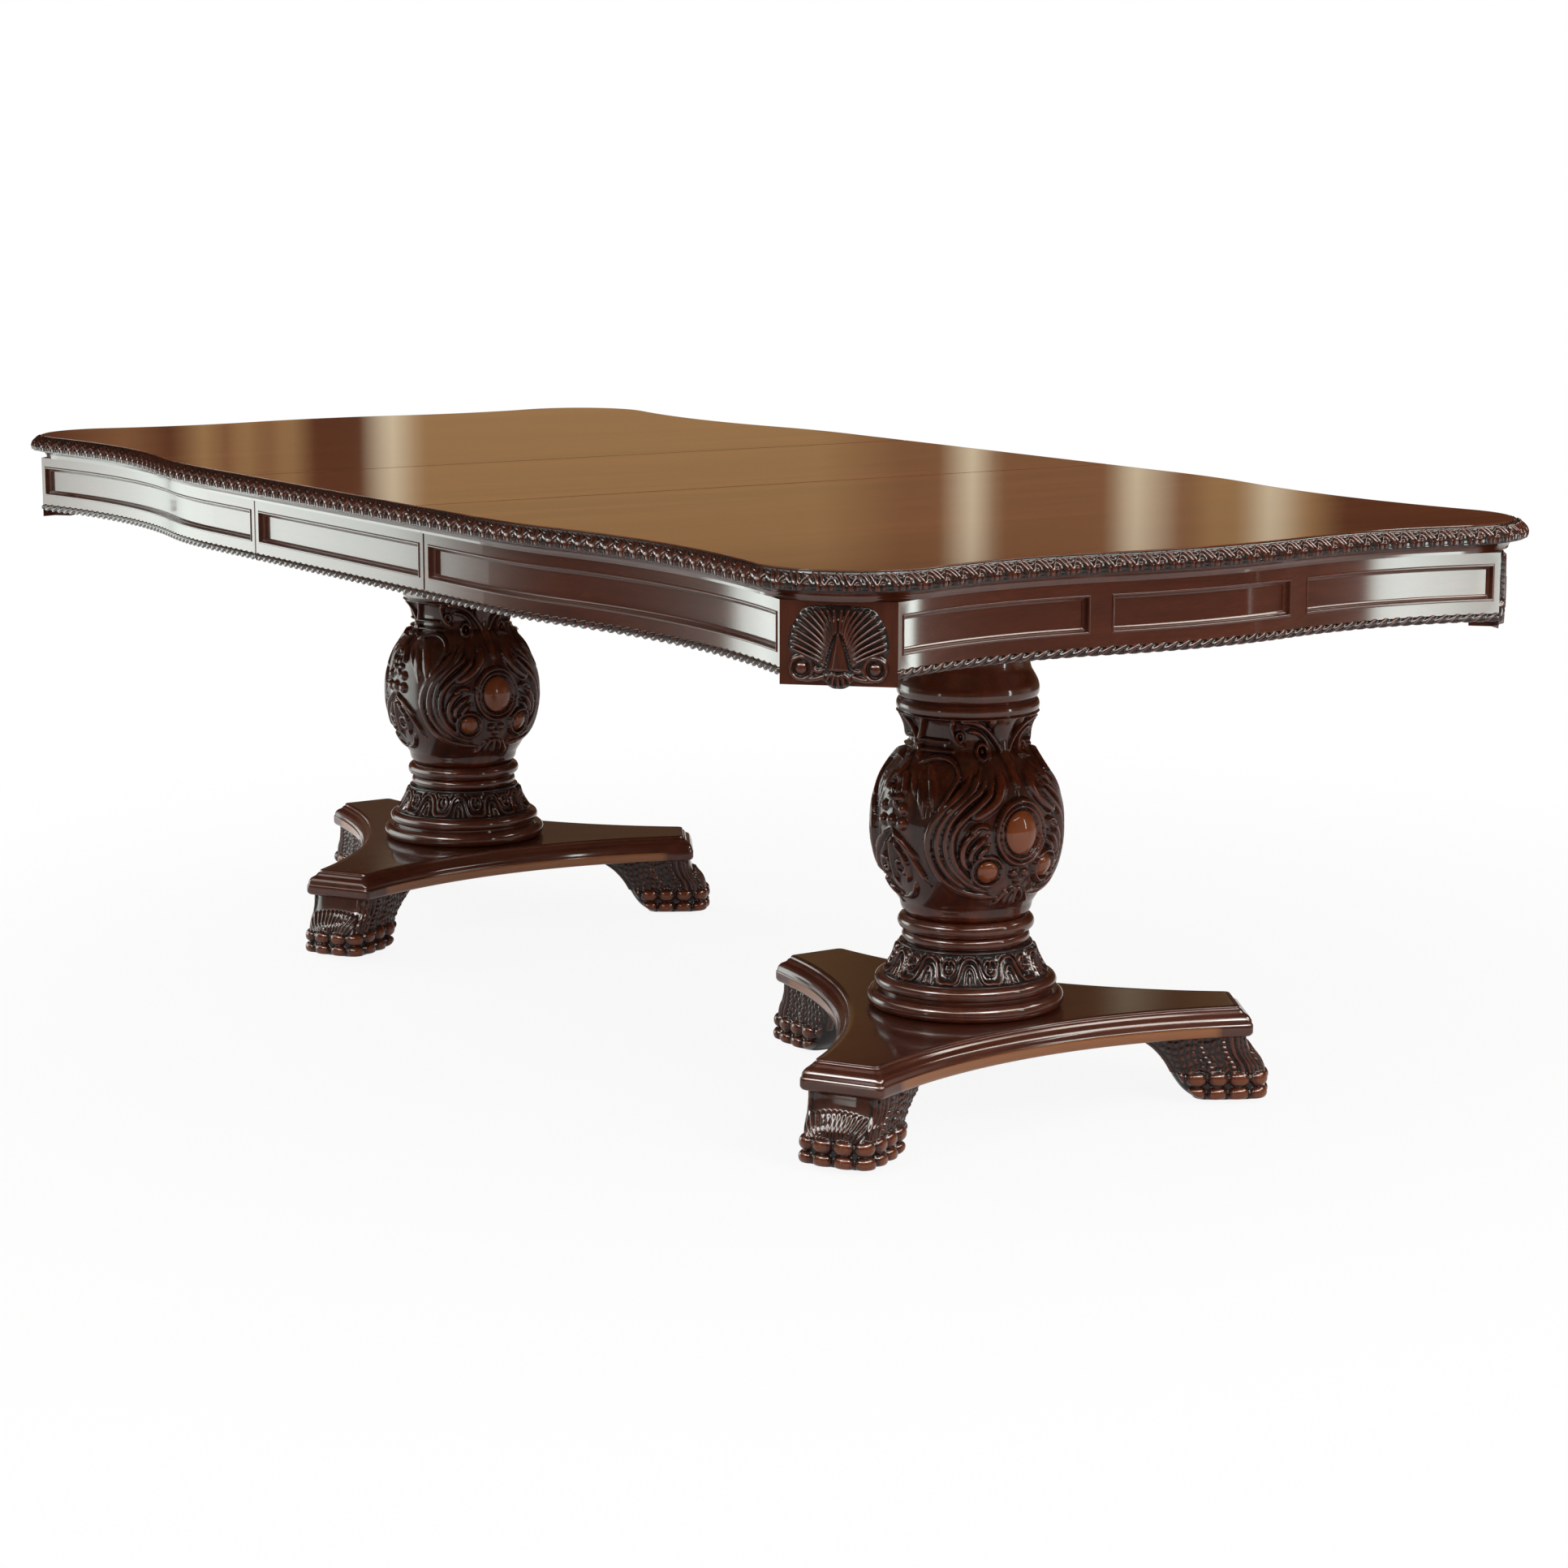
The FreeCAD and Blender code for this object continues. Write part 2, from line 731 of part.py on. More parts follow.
def slide_rails(label, x_sign):
    """Two grooved rails screwed under a half; they reach past the seam to carry the leaf."""
    length = "sizes.rail_outer_end + sizes.rail_inner_end"
    start = "-1 * sizes.rail_outer_end" if x_sign < 0 else "-1 * sizes.rail_inner_end"
    rails = []
    holes = screw_holes(label, x_sign, "rail", f"{RAIL_BOTTOM} - sizes.overrun",
                        "sizes.rail_height + 2 * sizes.overrun")
    for index, (side, y_sign) in enumerate(SIDES):
        name = f"{label}_{side}_rail"
        corner = (start, rail_y(rail_row(x_sign), y_sign), RAIL_BOTTOM)
        bar = box(f"{name}_bar", (length, "sizes.rail_width", "sizes.rail_height"), corner)
        groove = rail_groove(f"{name}_groove", x_sign, y_sign, start, length)
        own_holes = holes[index * SCREWS_PER_RAIL:(index + 1) * SCREWS_PER_RAIL]
        rails.append(cut(name, bar, [groove] + own_holes))
    keep(combine("Part::Compound", f"{label}_slide_rails", rails), f"{label}_slide_rails")


def rail_screws(label, x_sign):
    """Pan-head screws from the rails up into the panel."""
    screws = []
    for side, y_sign in SIDES:
        places = screw_places(x_sign, rail_middle(rail_row(x_sign), y_sign))
        for step, (x, y) in enumerate(places):
            name = f"{label}_{side}_screw_{step}"
            shank = cylinder(f"{name}_shank", "sizes.screw_radius", "sizes.rail_height + sizes.screw_grip",
                             (x, y, RAIL_BOTTOM))
            head = cylinder(f"{name}_head", "sizes.screw_head_radius", "sizes.screw_head_height",
                            (x, y, f"{RAIL_BOTTOM} - sizes.screw_head_height"))
            screws.append(combine("Part::MultiFuse", name, [shank, head]))
    keep(combine("Part::Compound", f"{label}_rail_screws", screws), f"{label}_rail_screws")


def centre_slide_rails():
    """Tongued rails that bridge the two halves' rails, a clearance below the top."""
    rails = []
    start = "-1 * sizes.centre_rail_half_length"
    length = "2 * sizes.centre_rail_half_length"
    low = f"{RAIL_BOTTOM} + sizes.slide_clearance"
    tongue_low = f"{RAIL_BOTTOM} + (sizes.rail_height - sizes.tongue_height) / 2"
    for side, y_sign in SIDES:
        name = f"centre_{side}_rail"
        y = rail_y(1, y_sign)
        height = "sizes.rail_height - 2 * sizes.slide_clearance"
        bar = box(f"{name}_bar", (length, "sizes.rail_width", height), (start, y, low))
        tongue = box(f"{name}_tongue",
                     (length, "sizes.rail_width + 2 * sizes.tongue_depth", "sizes.tongue_height"),
                     (start, f"{y} - sizes.tongue_depth", tongue_low))
        rails.append(combine("Part::MultiFuse", name, [bar, tongue]))
    keep(combine("Part::Compound", "centre_slide_rails", rails), "centre_slide_rails")


# Leaf.
def leaf():
    """Drop-in leaf: panel with pin slots in both edges, edge strips, coves, aprons and ropes."""
    half = leaf_edge()

    def straight_at(y_sign):
        return lambda offset: [tuple(V(x, y_sign * (size("apron_half_width") + offset))
                                     for x in (-half, half))]
    reach = size("apron_half_width") + size("panel_overhang")
    low = number(PANEL_BOTTOM) + size("slide_clearance")
    panel = Part.makeBox(2 * half, 2 * reach, size("top_height") - low, V(-half, -reach, low))
    slots = [pin_slot(y, x_sign * half, -x_sign) for _, x_sign in HALVES for y in pin_stations(x_sign)]
    eases = [level_ease(x_sign * half) for _, x_sign in HALVES]
    keep(feature("leaf_panel", panel.cut(slots + eases)), "leaf_panel")
    runs = [straight_at(y_sign) for _, y_sign in SIDES]
    groups = {"edge_mouldings": [strip(path_at, edge_levels()) for path_at in runs],
              "cove_mouldings": [leaf_cove(path_at) for path_at in runs],
              "rope_mouldings": [strip(path_at, rope_levels()) for path_at in runs]}
    for name, strips in groups.items():
        keep(feature(f"leaf_{name}", Part.makeCompound(strips)), f"leaf_{name}")
    for side, y_sign in SIDES:
        board = strip(straight_at(y_sign), apron_levels())
        recess = strip(straight_at(y_sign), recess_levels())
        bounds = recess.BoundBox
        bounds.enlarge(size("overrun"))
        window = Part.makeBox(2 * (half - size("seam_stile")), bounds.YLength, bounds.ZLength,
                              V(size("seam_stile") - half, bounds.YMin, bounds.ZMin))
        tools = [upright_ease(x_sign * half, y_sign * size("apron_half_width")) for _, x_sign in HALVES]
        keep(feature(f"leaf_{side}_apron", board.cut(tools + [recess.common(window)])), f"leaf_{side}_apron")


def leaf_cove(path_at):
    """The halves' cove, with a thin fillet that carries it up to the underside of the leaf's panel."""
    top, inner, _ = cove_levels()[-1]
    fillet = [(top + rise, inner, size("panel_overhang")) for rise in (0, size("slide_clearance"))]
    return strip(path_at, cove_levels()).fuse(strip(path_at, fillet)).removeSplitter()


# Pedestal mounting.
def pedestal_x(x_sign):
    """Pedestal axis along the table, as an expression."""
    return f"{x_sign} * sizes.pedestal_offset"


def bolt_places(x_sign):
    """Plan positions of the mounting bolts, as expressions."""
    return [(f"{pedestal_x(x_sign)} + {u} * sizes.batten_offset", f"{v} * sizes.bolt_spread")
            for u in (-1, 1) for v in (-1, 1)]


def bolt_holes(label, x_sign, part, foot, height):
    """Clearance holes for the mounting bolts through one piece."""
    return [cylinder(f"{label}_{part}_bolt_hole_{index}", "sizes.bolt_radius + sizes.bolt_clearance", height,
                     (x, y, foot))
            for index, (x, y) in enumerate(bolt_places(x_sign))]


def cross_battens(label, x_sign):
    """Two battens glued across the underside of a half."""
    holes = bolt_holes(label, x_sign, "batten", f"{BATTEN_BOTTOM} - sizes.overrun",
                       "sizes.bolt_grip + sizes.bolt_clearance + sizes.overrun")
    battens = []
    for index, u in enumerate((-1, 1)):
        name = f"{label}_batten_{index}"
        x = f"{pedestal_x(x_sign)} + {u} * sizes.batten_offset - sizes.batten_width / 2"
        bar = box(f"{name}_bar", ("sizes.batten_width", "sizes.batten_length", "sizes.batten_height"),
                  (x, "-1 * sizes.batten_length / 2", BATTEN_BOTTOM))
        battens.append(cut(name, bar, holes[2 * index:2 * index + 2]))
    keep(combine("Part::Compound", f"{label}_cross_battens", battens), f"{label}_cross_battens")


def mount_plate(label, x_sign):
    """Square plate between the column and the battens."""
    x = f"{pedestal_x(x_sign)} - sizes.plate_size / 2"
    board = box(f"{label}_plate_board", ("sizes.plate_size", "sizes.plate_size", "sizes.plate_thickness"),
                (x, "-1 * sizes.plate_size / 2", PLATE_BOTTOM))
    foot = f"{PLATE_BOTTOM} - sizes.overrun"
    through = "sizes.plate_thickness + 2 * sizes.overrun"
    holes = bolt_holes(label, x_sign, "plate", foot, through)
    holes.append(cylinder(f"{label}_plate_rod_hole", "sizes.rod_bore_radius", through,
                          (pedestal_x(x_sign), "0", foot)))
    keep(cut(f"{label}_mount_plate", board, holes), f"{label}_mount_plate")


def mount_bolts(label, x_sign):
    """Hexagon-head bolts from under the plate into the battens."""
    bolts = []
    for index, (x, y) in enumerate(bolt_places(x_sign)):
        name = f"{label}_mount_bolt_{index}"
        shank = cylinder(f"{name}_shank", "sizes.bolt_radius", "sizes.plate_thickness + sizes.bolt_grip",
                         (x, y, PLATE_BOTTOM))
        head = doc.addObject("Part::Prism", f"{name}_head")
        bind(head, {"Circumradius": "sizes.bolt_head_radius", "Height": "sizes.bolt_head_height"})
        place(head, x, y, f"{PLATE_BOTTOM} - sizes.bolt_head_height")
        bolts.append(combine("Part::MultiFuse", name, [shank, head]))
    keep(combine("Part::Compound", f"{label}_mount_bolts", bolts), f"{label}_mount_bolts")


def tie_rod(label, x_sign):
    """Threaded rod that draws platform, column and mount plate together, with washers and nuts."""
    x = pedestal_x(x_sign)
    stack = "sizes.washer_thickness + sizes.nut_height"
    low = f"{FOOT_TOP} - ({stack}) - sizes.rod_tail"
    high = f"{BATTEN_BOTTOM} + {stack} + sizes.rod_tail"
    rod = cylinder(f"{label}_tie_rod", "sizes.rod_radius", f"{high} - ({low})", (x, "0", low))
    keep(rod, f"{label}_tie_rod")
    feet = {"lower": (f"{FOOT_TOP} - sizes.washer_thickness", f"{FOOT_TOP} - ({stack})"),
            "upper": (BATTEN_BOTTOM, f"{BATTEN_BOTTOM} + sizes.washer_thickness")}
    rings = []
    for end, (washer_foot, nut_foot) in feet.items():
        name = f"{label}_{end}"
        washer = cylinder(f"{name}_washer_disc", "sizes.washer_radius", "sizes.washer_thickness",
                          (x, "0", washer_foot))
        nut = doc.addObject("Part::Prism", f"{name}_nut_prism")
        bind(nut, {"Circumradius": "sizes.nut_radius", "Height": "sizes.nut_height"})
        place(nut, x, "0", nut_foot)
        for part, solid, foot in (("washer", washer, washer_foot), ("nut", nut, nut_foot)):
            bore = cylinder(f"{name}_{part}_bore", "sizes.rod_radius + sizes.nut_clearance",
                            f"{stack} + 2 * sizes.overrun", (x, "0", f"{foot} - sizes.overrun"))
            rings.append(cut(f"{name}_{part}", solid, [bore]))
    keep(combine("Part::Compound", f"{label}_tie_nuts", rings), f"{label}_tie_nuts")


# Column.
def draw_profile(sketch, corners):
    """Closed profile of lines and arcs with every corner tied to the sheet.

    A corner is (across, up) or (across, up, radius, side): the last two make the run that leaves it
    an arc, bulging right of its way for side 1 and left for side -1.
    """
    points = [V(number(corner[0]), number(corner[1]), 0) for corner in corners]
    for index, corner in enumerate(corners):
        start, stop = points[index], points[(index + 1) % len(points)]
        if len(corner) == 2:
            sketch.addGeometry(Part.LineSegment(start, stop), False)
        else:
            sketch.addGeometry(bulged_arc(start, stop, number(corner[2]), corner[3]), False)
    starts = [1 if len(corner) == 2 or corner[3] > 0 else 2 for corner in corners]
    for index, corner in enumerate(corners):
        following = (index + 1) % len(corners)
        sketch.addConstraint(Sketcher.Constraint("Coincident", index, 3 - starts[index],
                                                 following, starts[following]))
        for kind, expression in (("DistanceX", corner[0]), ("DistanceY", corner[1])):
            tied = sketch.addConstraint(Sketcher.Constraint(kind, -1, 1, index, starts[index],
                                                            number(expression)))
            sketch.setExpression(f"Constraints[{tied}]", expression)
        if len(corner) == 4:
            tied = sketch.addConstraint(Sketcher.Constraint("Radius", index, number(corner[2])))
            sketch.setExpression(f"Constraints[{tied}]", corner[2])


def bulged_arc(start, stop, radius, side):
    """Minor arc between two points; it is stored anticlockwise, so a left bulge starts at stop."""
    chord = stop - start
    sag = math.sqrt(radius**2 - (chord.Length / 2)**2)
    normal = V(-chord.y, chord.x, 0).normalize()
    centre = (start + stop) * 0.5 + normal * (sag * side)
    first, last = (start, stop) if side > 0 else (stop, start)
    angles = [math.atan2(point.y - centre.y, point.x - centre.x) for point in (first, last)]
    return Part.ArcOfCircle(Part.Circle(centre, V(0, 0, 1), radius), *angles)


def turned_piece(label, x_sign, corners):
    """A piece turned on the lathe about the pedestal axis, from its half profile."""
    body = doc.addObject("PartDesign::Body", label)
    plane = next(item for item in body.Origin.OriginFeatures if item.Role == "XZ_Plane")
    sketch = body.newObject("Sketcher::SketchObject", f"{label}_profile")
    sketch.AttachmentSupport = [(plane, "")]
    sketch.MapMode = "FlatFace"
    draw_profile(sketch, corners)
    turning = body.newObject("PartDesign::Revolution", f"{label}_turning")
    turning.Profile = sketch
    turning.ReferenceAxis = (sketch, ["V_Axis"])
    turning.Angle = 360
    body.setExpression("Placement.Base.x", pedestal_x(x_sign))
    keep(body, label)


BORE = "sizes.rod_bore_radius"
TORUS_MID = f"{PLATFORM_TOP} + sizes.lower_torus_height"
TORUS_STEP = f"{TORUS_MID} + sizes.torus_fillet_height"
TORUS_TOP = f"{TORUS_STEP} + sizes.upper_torus_height"
BAND_TOP = f"{TORUS_TOP} + sizes.band_height"
RING_MID = f"{BAND_TOP} + sizes.lower_ring_height"
RING_TOP = f"{RING_MID} + sizes.upper_ring_height"
BELLY = f"{RING_TOP} + sizes.vase_belly_rise"
SHOULDER = f"{BELLY} + sizes.vase_shoulder_rise"
NECK = f"{SHOULDER} + sizes.vase_neck_rise"
LIP_TOP = f"{NECK} + sizes.lip_height"
DRUM_TOP = f"{LIP_TOP} + sizes.drum_height"


def rolled(radius, height):
    """Radius where a half-round ring of that height meets the flat above and below it."""
    return f"{radius} - {height} / 2"


def roll(height):
    """Radius of the round on a ring, a little over half its height."""
    return f"{height} * {ROLL_SHARE}"


def column(label, x_sign):
    """Five turned pieces stacked on the platform, each bored for the tie rod."""
    lower = rolled("sizes.lower_torus_radius", "sizes.lower_torus_height")
    upper = rolled("sizes.upper_torus_radius", "sizes.upper_torus_height")
    turned_piece(f"{label}_base_torus", x_sign, [
        (BORE, PLATFORM_TOP),
        (lower, PLATFORM_TOP, roll("sizes.lower_torus_height"), 1),
        (lower, TORUS_MID),
        (upper, TORUS_MID),
        (upper, TORUS_STEP, roll("sizes.upper_torus_height"), 1),
        (upper, TORUS_TOP),
        (BORE, TORUS_TOP),
    ])
    turned_piece(f"{label}_carved_band", x_sign, [
        (BORE, TORUS_TOP),
        ("sizes.band_foot_radius", TORUS_TOP, "sizes.band_hollow_radius", -1),
        ("sizes.band_head_radius", BAND_TOP),
        (BORE, BAND_TOP),
    ])
    low_ring = rolled("sizes.lower_ring_radius", "sizes.lower_ring_height")
    high_ring = rolled("sizes.upper_ring_radius", "sizes.upper_ring_height")
    turned_piece(f"{label}_column_collar", x_sign, [
        (BORE, BAND_TOP),
        (low_ring, BAND_TOP, roll("sizes.lower_ring_height"), 1),
        (low_ring, RING_MID),
        (high_ring, RING_MID, roll("sizes.upper_ring_height"), 1),
        (high_ring, RING_TOP),
        (BORE, RING_TOP),
    ])
    turned_piece(f"{label}_carved_vase", x_sign, [
        (BORE, RING_TOP),
        ("sizes.vase_foot_radius", RING_TOP, "sizes.vase_lower_curve", 1),
        ("sizes.vase_belly_radius", BELLY, "sizes.vase_upper_curve", 1),
        ("sizes.vase_shoulder_radius", SHOULDER, "sizes.vase_neck_curve", -1),
        ("sizes.vase_neck_radius", NECK),
        (BORE, NECK),
    ])
    lip = rolled("sizes.lip_radius", "sizes.lip_height")
    turned_piece(f"{label}_column_cap", x_sign, [
        (BORE, NECK),
        (lip, NECK, roll("sizes.lip_height"), 1),
        (lip, LIP_TOP),
        ("sizes.drum_foot_radius", LIP_TOP),
        ("sizes.drum_head_radius", DRUM_TOP),
        ("sizes.drum_head_radius", PLATE_BOTTOM),
        (BORE, PLATE_BOTTOM),
    ])


# Platform and feet.
def spun(point, angle):
    """A plan point turned about the pedestal axis by an angle in radians."""
    return V(point.x * math.cos(angle) - point.y * math.sin(angle),
             point.x * math.sin(angle) + point.y * math.cos(angle))


def hollow_side():
    """Centre distance and radius of the hollow side between two arms.

    The circle passes the waist on the bisector and the near corner of each arm's tip.
    """
    half_gap = math.pi / len(ARM_ANGLES)
    half_tip = size("arm_tip_width") / 2
    corner = spun(V(size("arm_reach"), -half_tip), half_gap)
    waist = size("platform_waist")
    centre = (corner.x**2 + corner.y**2 - waist**2) / (2 * (corner.x - waist))
    return centre, centre - waist


def platform_path(offset):
    """Outline of the platform moved outwards: three hollow sides and three straight arm tips."""
    centre, radius = hollow_side()
    radius -= offset
    half_gap = math.pi / len(ARM_ANGLES)
    reach = size("arm_reach") + offset
    hub = V(centre * math.cos(half_gap), centre * math.sin(half_gap))
    tip = hub.y - math.sqrt(radius**2 - (hub.x - reach)**2)
    path = []
    for degrees in ARM_ANGLES:
        arm = math.radians(degrees)
        path.append((spun(V(reach, -tip), arm), spun(V(reach, tip), arm)))
        after = arm + half_gap
        path.append((spun(V(reach, tip), arm), spun(V(centre - radius, 0), after),
                     spun(V(reach, -tip), arm + 2 * half_gap)))
    return path


def arm_drill(radius, station, low, high):
    """Upright drills at a distance along each arm."""
    drills = []
    for degrees in ARM_ANGLES:
        spot = spun(V(station, 0), math.radians(degrees))
        drills.append(Part.makeCylinder(radius, high - low, V(spot.x, spot.y, low)))
    return drills


def foot_bolt_span():
    """Bottom and top of the hanger bolts."""
    seat = number(FOOT_TOP)
    return seat - size("foot_bolt_grip"), seat + size("foot_bolt_grip")


def foot_bolt_drills():
    """Drillings for the hanger bolts, a clearance wider and deeper."""
    low, high = foot_bolt_span()
    slack = size("bolt_clearance")
    return arm_drill(size("foot_bolt_radius") + slack, size("foot_bolt_station"), low - slack, high + slack)


def on_pedestal(shape, x_sign):
    """A shape built about the origin, carried to its pedestal."""
    shape.translate(V(x_sign * size("pedestal_offset"), 0, 0))
    return shape


def platform(label, x_sign):
    """Three-armed plate with hollow sides and a stepped, moulded edge."""
    bottom = number(FOOT_TOP)
    wires = [closed_wire(platform_path(out * size("platform_edge")),
                         bottom + high * size("platform_thickness"))
             for high, out in PLATFORM_EDGE_SHARES]
    plate = Part.makeLoft(wires, True, True)
    through = size("platform_thickness") + 2 * size("overrun")
    bore = Part.makeCylinder(size("rod_bore_radius"), through, V(0, 0, bottom - size("overrun")))
    plate = plate.cut([bore] + foot_bolt_drills())
    keep(feature(f"{label}_platform", on_pedestal(plate, x_sign)), f"{label}_platform")


def foot_blank():
    """One paw along +X: scrolled back, sloping front and a row of round toes."""
    low = size("glide_height")
    length = size("foot_front") - size("foot_back")

    def at(name):
        along, up = FOOT_PROFILE_SHARES[name]
        return V(size("foot_back") + along * length, 0, low + up * size("foot_height"))
    top = low + size("foot_height")
    tail = V(size("foot_back"), 0, top)
    toe = V(size("foot_front"), 0, low)
    edges = [
        bowed_edge(tail, at("waist"), -size("foot_back_curve")),
        bowed_edge(at("waist"), at("heel"), size("foot_back_curve")),
        Part.makeLine(at("heel"), toe),
        Part.makeLine(toe, at("toe_top")),
        Part.makeLine(at("toe_top"), at("instep")),
        Part.makeLine(at("instep"), at("head")),
        Part.makeLine(at("head"), tail),
    ]
    half = size("foot_width") / 2
    paw = Part.Face(Part.Wire(edges)).extrude(V(0, size("foot_width"), 0))
    paw.translate(V(0, -half, 0))
    first = -size("toe_spacing") * (TOES - 1) / 2
    toes = [Part.makeSphere(size("toe_radius"), V(size("foot_front"), first + index * size("toe_spacing"),
                                                  low + size("toe_radius")))
            for index in range(TOES)]
    return paw.fuse(toes).removeSplitter()


def bowed_edge(start, stop, radius):
    """Arc in the upright plane through two points; a positive radius bows to the left of its way."""
    chord = stop - start
    sag = abs(radius) - math.sqrt(radius**2 - (chord.Length / 2)**2)
    normal = V(-chord.z, 0, chord.x).normalize() * math.copysign(sag, radius)
    return Part.Arc(start, (start + stop) * 0.5 + normal, stop).toShape()


def feet(label, x_sign):
    """Three paws under the arms, their hanger bolts and the glides that they stand on."""
    drills = foot_bolt_drills()
    paws = []
    for degrees, drill in zip(ARM_ANGLES, drills):
        paw = foot_blank()
        paw.rotate(V(0, 0, 0), V(0, 0, 1), degrees)
        paws.append(paw.cut(drill))
    bolts = arm_drill(size("foot_bolt_radius"), size("foot_bolt_station"), *foot_bolt_span())
    glides = arm_drill(size("glide_radius"), size("glide_station"), 0, size("glide_height"))
    for name, solids in (("paw_feet", paws), ("foot_bolts", bolts), ("foot_glides", glides)):
        group = on_pedestal(Part.makeCompound(solids), x_sign)
        keep(feature(f"{label}_{name}", group), f"{label}_{name}")


def half(label, x_sign):
    """One half of the table with its pedestal."""
    top_panel(label, x_sign)
    edge_mouldings(label, x_sign)
    ropes = [long_apron(label, x_sign, side, y_sign) for side, y_sign in SIDES]
    ropes.append(end_apron(label, x_sign))
    keep(feature(f"{label}_rope_mouldings", Part.makeCompound(ropes)), f"{label}_rope_mouldings")
    corner_blocks(label, x_sign)
    shell_carvings(label, x_sign)
    locating_pins(label, x_sign)
    slide_rails(label, x_sign)
    rail_screws(label, x_sign)
    cross_battens(label, x_sign)
    mount_plate(label, x_sign)
    mount_bolts(label, x_sign)
    tie_rod(label, x_sign)
    column(label, x_sign)
    platform(label, x_sign)
    feet(label, x_sign)


for half_label, half_sign in HALVES:
    half(half_label, half_sign)
leaf()
centre_slide_rails()
doc.recompute()

for item in doc.Objects:
    if "Invalid" in item.State or "Error" in item.State:
        raise RuntimeError(f"{item.Label} failed: {item.State}")
for node in nodes:
    if node.Shape.isNull() or not node.Shape.isValid() or not node.Shape.Solids:
        raise RuntimeError(f"{node.Label} has no valid solid")

os.makedirs("parts", exist_ok=True)
for node in nodes:
    node.Shape.exportStep(os.path.join("parts", f"{node.Label}.step"))
    print(node.Label, len(node.Shape.Solids), "solids", round(node.Shape.Volume), "mm3")
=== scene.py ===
"""Looks of the double pedestal dining table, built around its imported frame, in metres."""
import math
import bpy
import numpy as np
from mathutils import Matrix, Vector


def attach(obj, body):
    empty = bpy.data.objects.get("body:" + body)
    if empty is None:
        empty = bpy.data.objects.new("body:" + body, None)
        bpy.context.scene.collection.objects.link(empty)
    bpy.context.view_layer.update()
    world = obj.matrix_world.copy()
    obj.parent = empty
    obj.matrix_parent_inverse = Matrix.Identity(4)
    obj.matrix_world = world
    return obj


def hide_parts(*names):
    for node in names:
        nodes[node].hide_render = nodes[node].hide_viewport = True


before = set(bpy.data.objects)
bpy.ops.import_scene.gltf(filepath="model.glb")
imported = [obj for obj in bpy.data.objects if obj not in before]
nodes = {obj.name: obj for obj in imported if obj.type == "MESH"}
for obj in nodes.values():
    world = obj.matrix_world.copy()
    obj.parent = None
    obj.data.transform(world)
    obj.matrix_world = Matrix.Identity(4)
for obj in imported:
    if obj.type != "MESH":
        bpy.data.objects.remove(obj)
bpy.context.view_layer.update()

MM = 0.001
HALVES = (("left", -1), ("right", 1))
BODY = {"left": "left_half", "right": "right_half", "leaf": "leaf"}

# Plan of the apron's outer face, in millimetres, as the solids have it.
HALF_WIDTH = 560.0
HALF_LENGTH = 1195.0
CANT = 95.0
BLOCK_Y = HALF_WIDTH - 10.0
BLOCK_X = HALF_LENGTH - CANT
SIDE_STRAIGHT = BLOCK_X * 0.385
SIDE_HOLLOW_RUN = (BLOCK_X - SIDE_STRAIGHT) * 0.394
END_HOLLOW_RUN = (BLOCK_Y - CANT) * 0.449
SIDE_DIP = 42.0
END_DIP = 36.0
END_BULGE = 24.0
CORNER_RADIUS = 112.0
HALF_SEAM = 261.25
LEAF_EDGE = 260.75

# Heights, in millimetres.
PANEL_BOTTOM = 757.0
APRON_TOP = 744.0
APRON_BOTTOM = 668.0
BLOCK_BOTTOM = 648.96
PLATFORM_BOTTOM = 93.0
PLATFORM_TOP = 131.0
BAND_BOTTOM = 174.0
BAND_TOP = 216.0
VASE_BOTTOM = 253.0
SHAFT = 416.0
VASE_BELLY = VASE_BOTTOM + 0.29 * SHAFT
VASE_SHOULDER = VASE_BELLY + 0.25 * SHAFT
VASE_TOP = VASE_SHOULDER + 0.105 * SHAFT
CAP_LIP = 18.0
PLATE_BOTTOM = VASE_BOTTOM + CAP_LIP + SHAFT
PEDESTAL_X = 700.0
ARM_ANGLES = (-60, 60, 180)

# Steps of a smooth curve between two of its points, and points of a ridge, an arc and a straight line.
CURVE_STEPS = 24
RIDGE_POINTS = 28
ARC_POINTS = 240
LINE_POINTS = 60
# Glaze and painted light of a plain place and of a wiped ridge; less is dark glaze with painted shade, and a
# place of its own colour has more, up to 1: a lighter stain that is partly painted highlight.
EVEN_GLAZE_AND_LIGHT = 0.5
RIDGE_GLAZE_AND_LIGHT = 0.66


# Small sums.
def ease(low, high, x):
    """0 below low, 1 above high and an S-curve between: 3t^2 - 2t^3."""
    t = np.clip((x - low) / (high - low), 0, 1)
    return t * t * (3 - 2 * t)


def dome(x):
    """Half round over -1 to 1: the square root of 1 - x^2, and 0 outside."""
    return np.sqrt(np.clip(1 - x * x, 0, 1))


def ribs(x, *rows):
    """Half-round ribs, each given by its middle and half width."""
    return np.maximum.reduce([dome((x - middle) / half_width) for middle, half_width in rows])


def length_along(line):
    """Length of a line of points up to each of them."""
    return np.concatenate([[0], np.cumsum(np.linalg.norm(np.diff(line, axis=0), axis=1))])


def read_off(values, at, want):
    """Columns of values that are known at some places, read off at the places wanted."""
    return np.stack([np.interp(want, at, column) for column in values.T], -1)


def resampled(line, count):
    """A line of many points read off at count places equally spaced along it."""
    run = length_along(line)
    return read_off(line, run, np.linspace(0, run[-1], count))


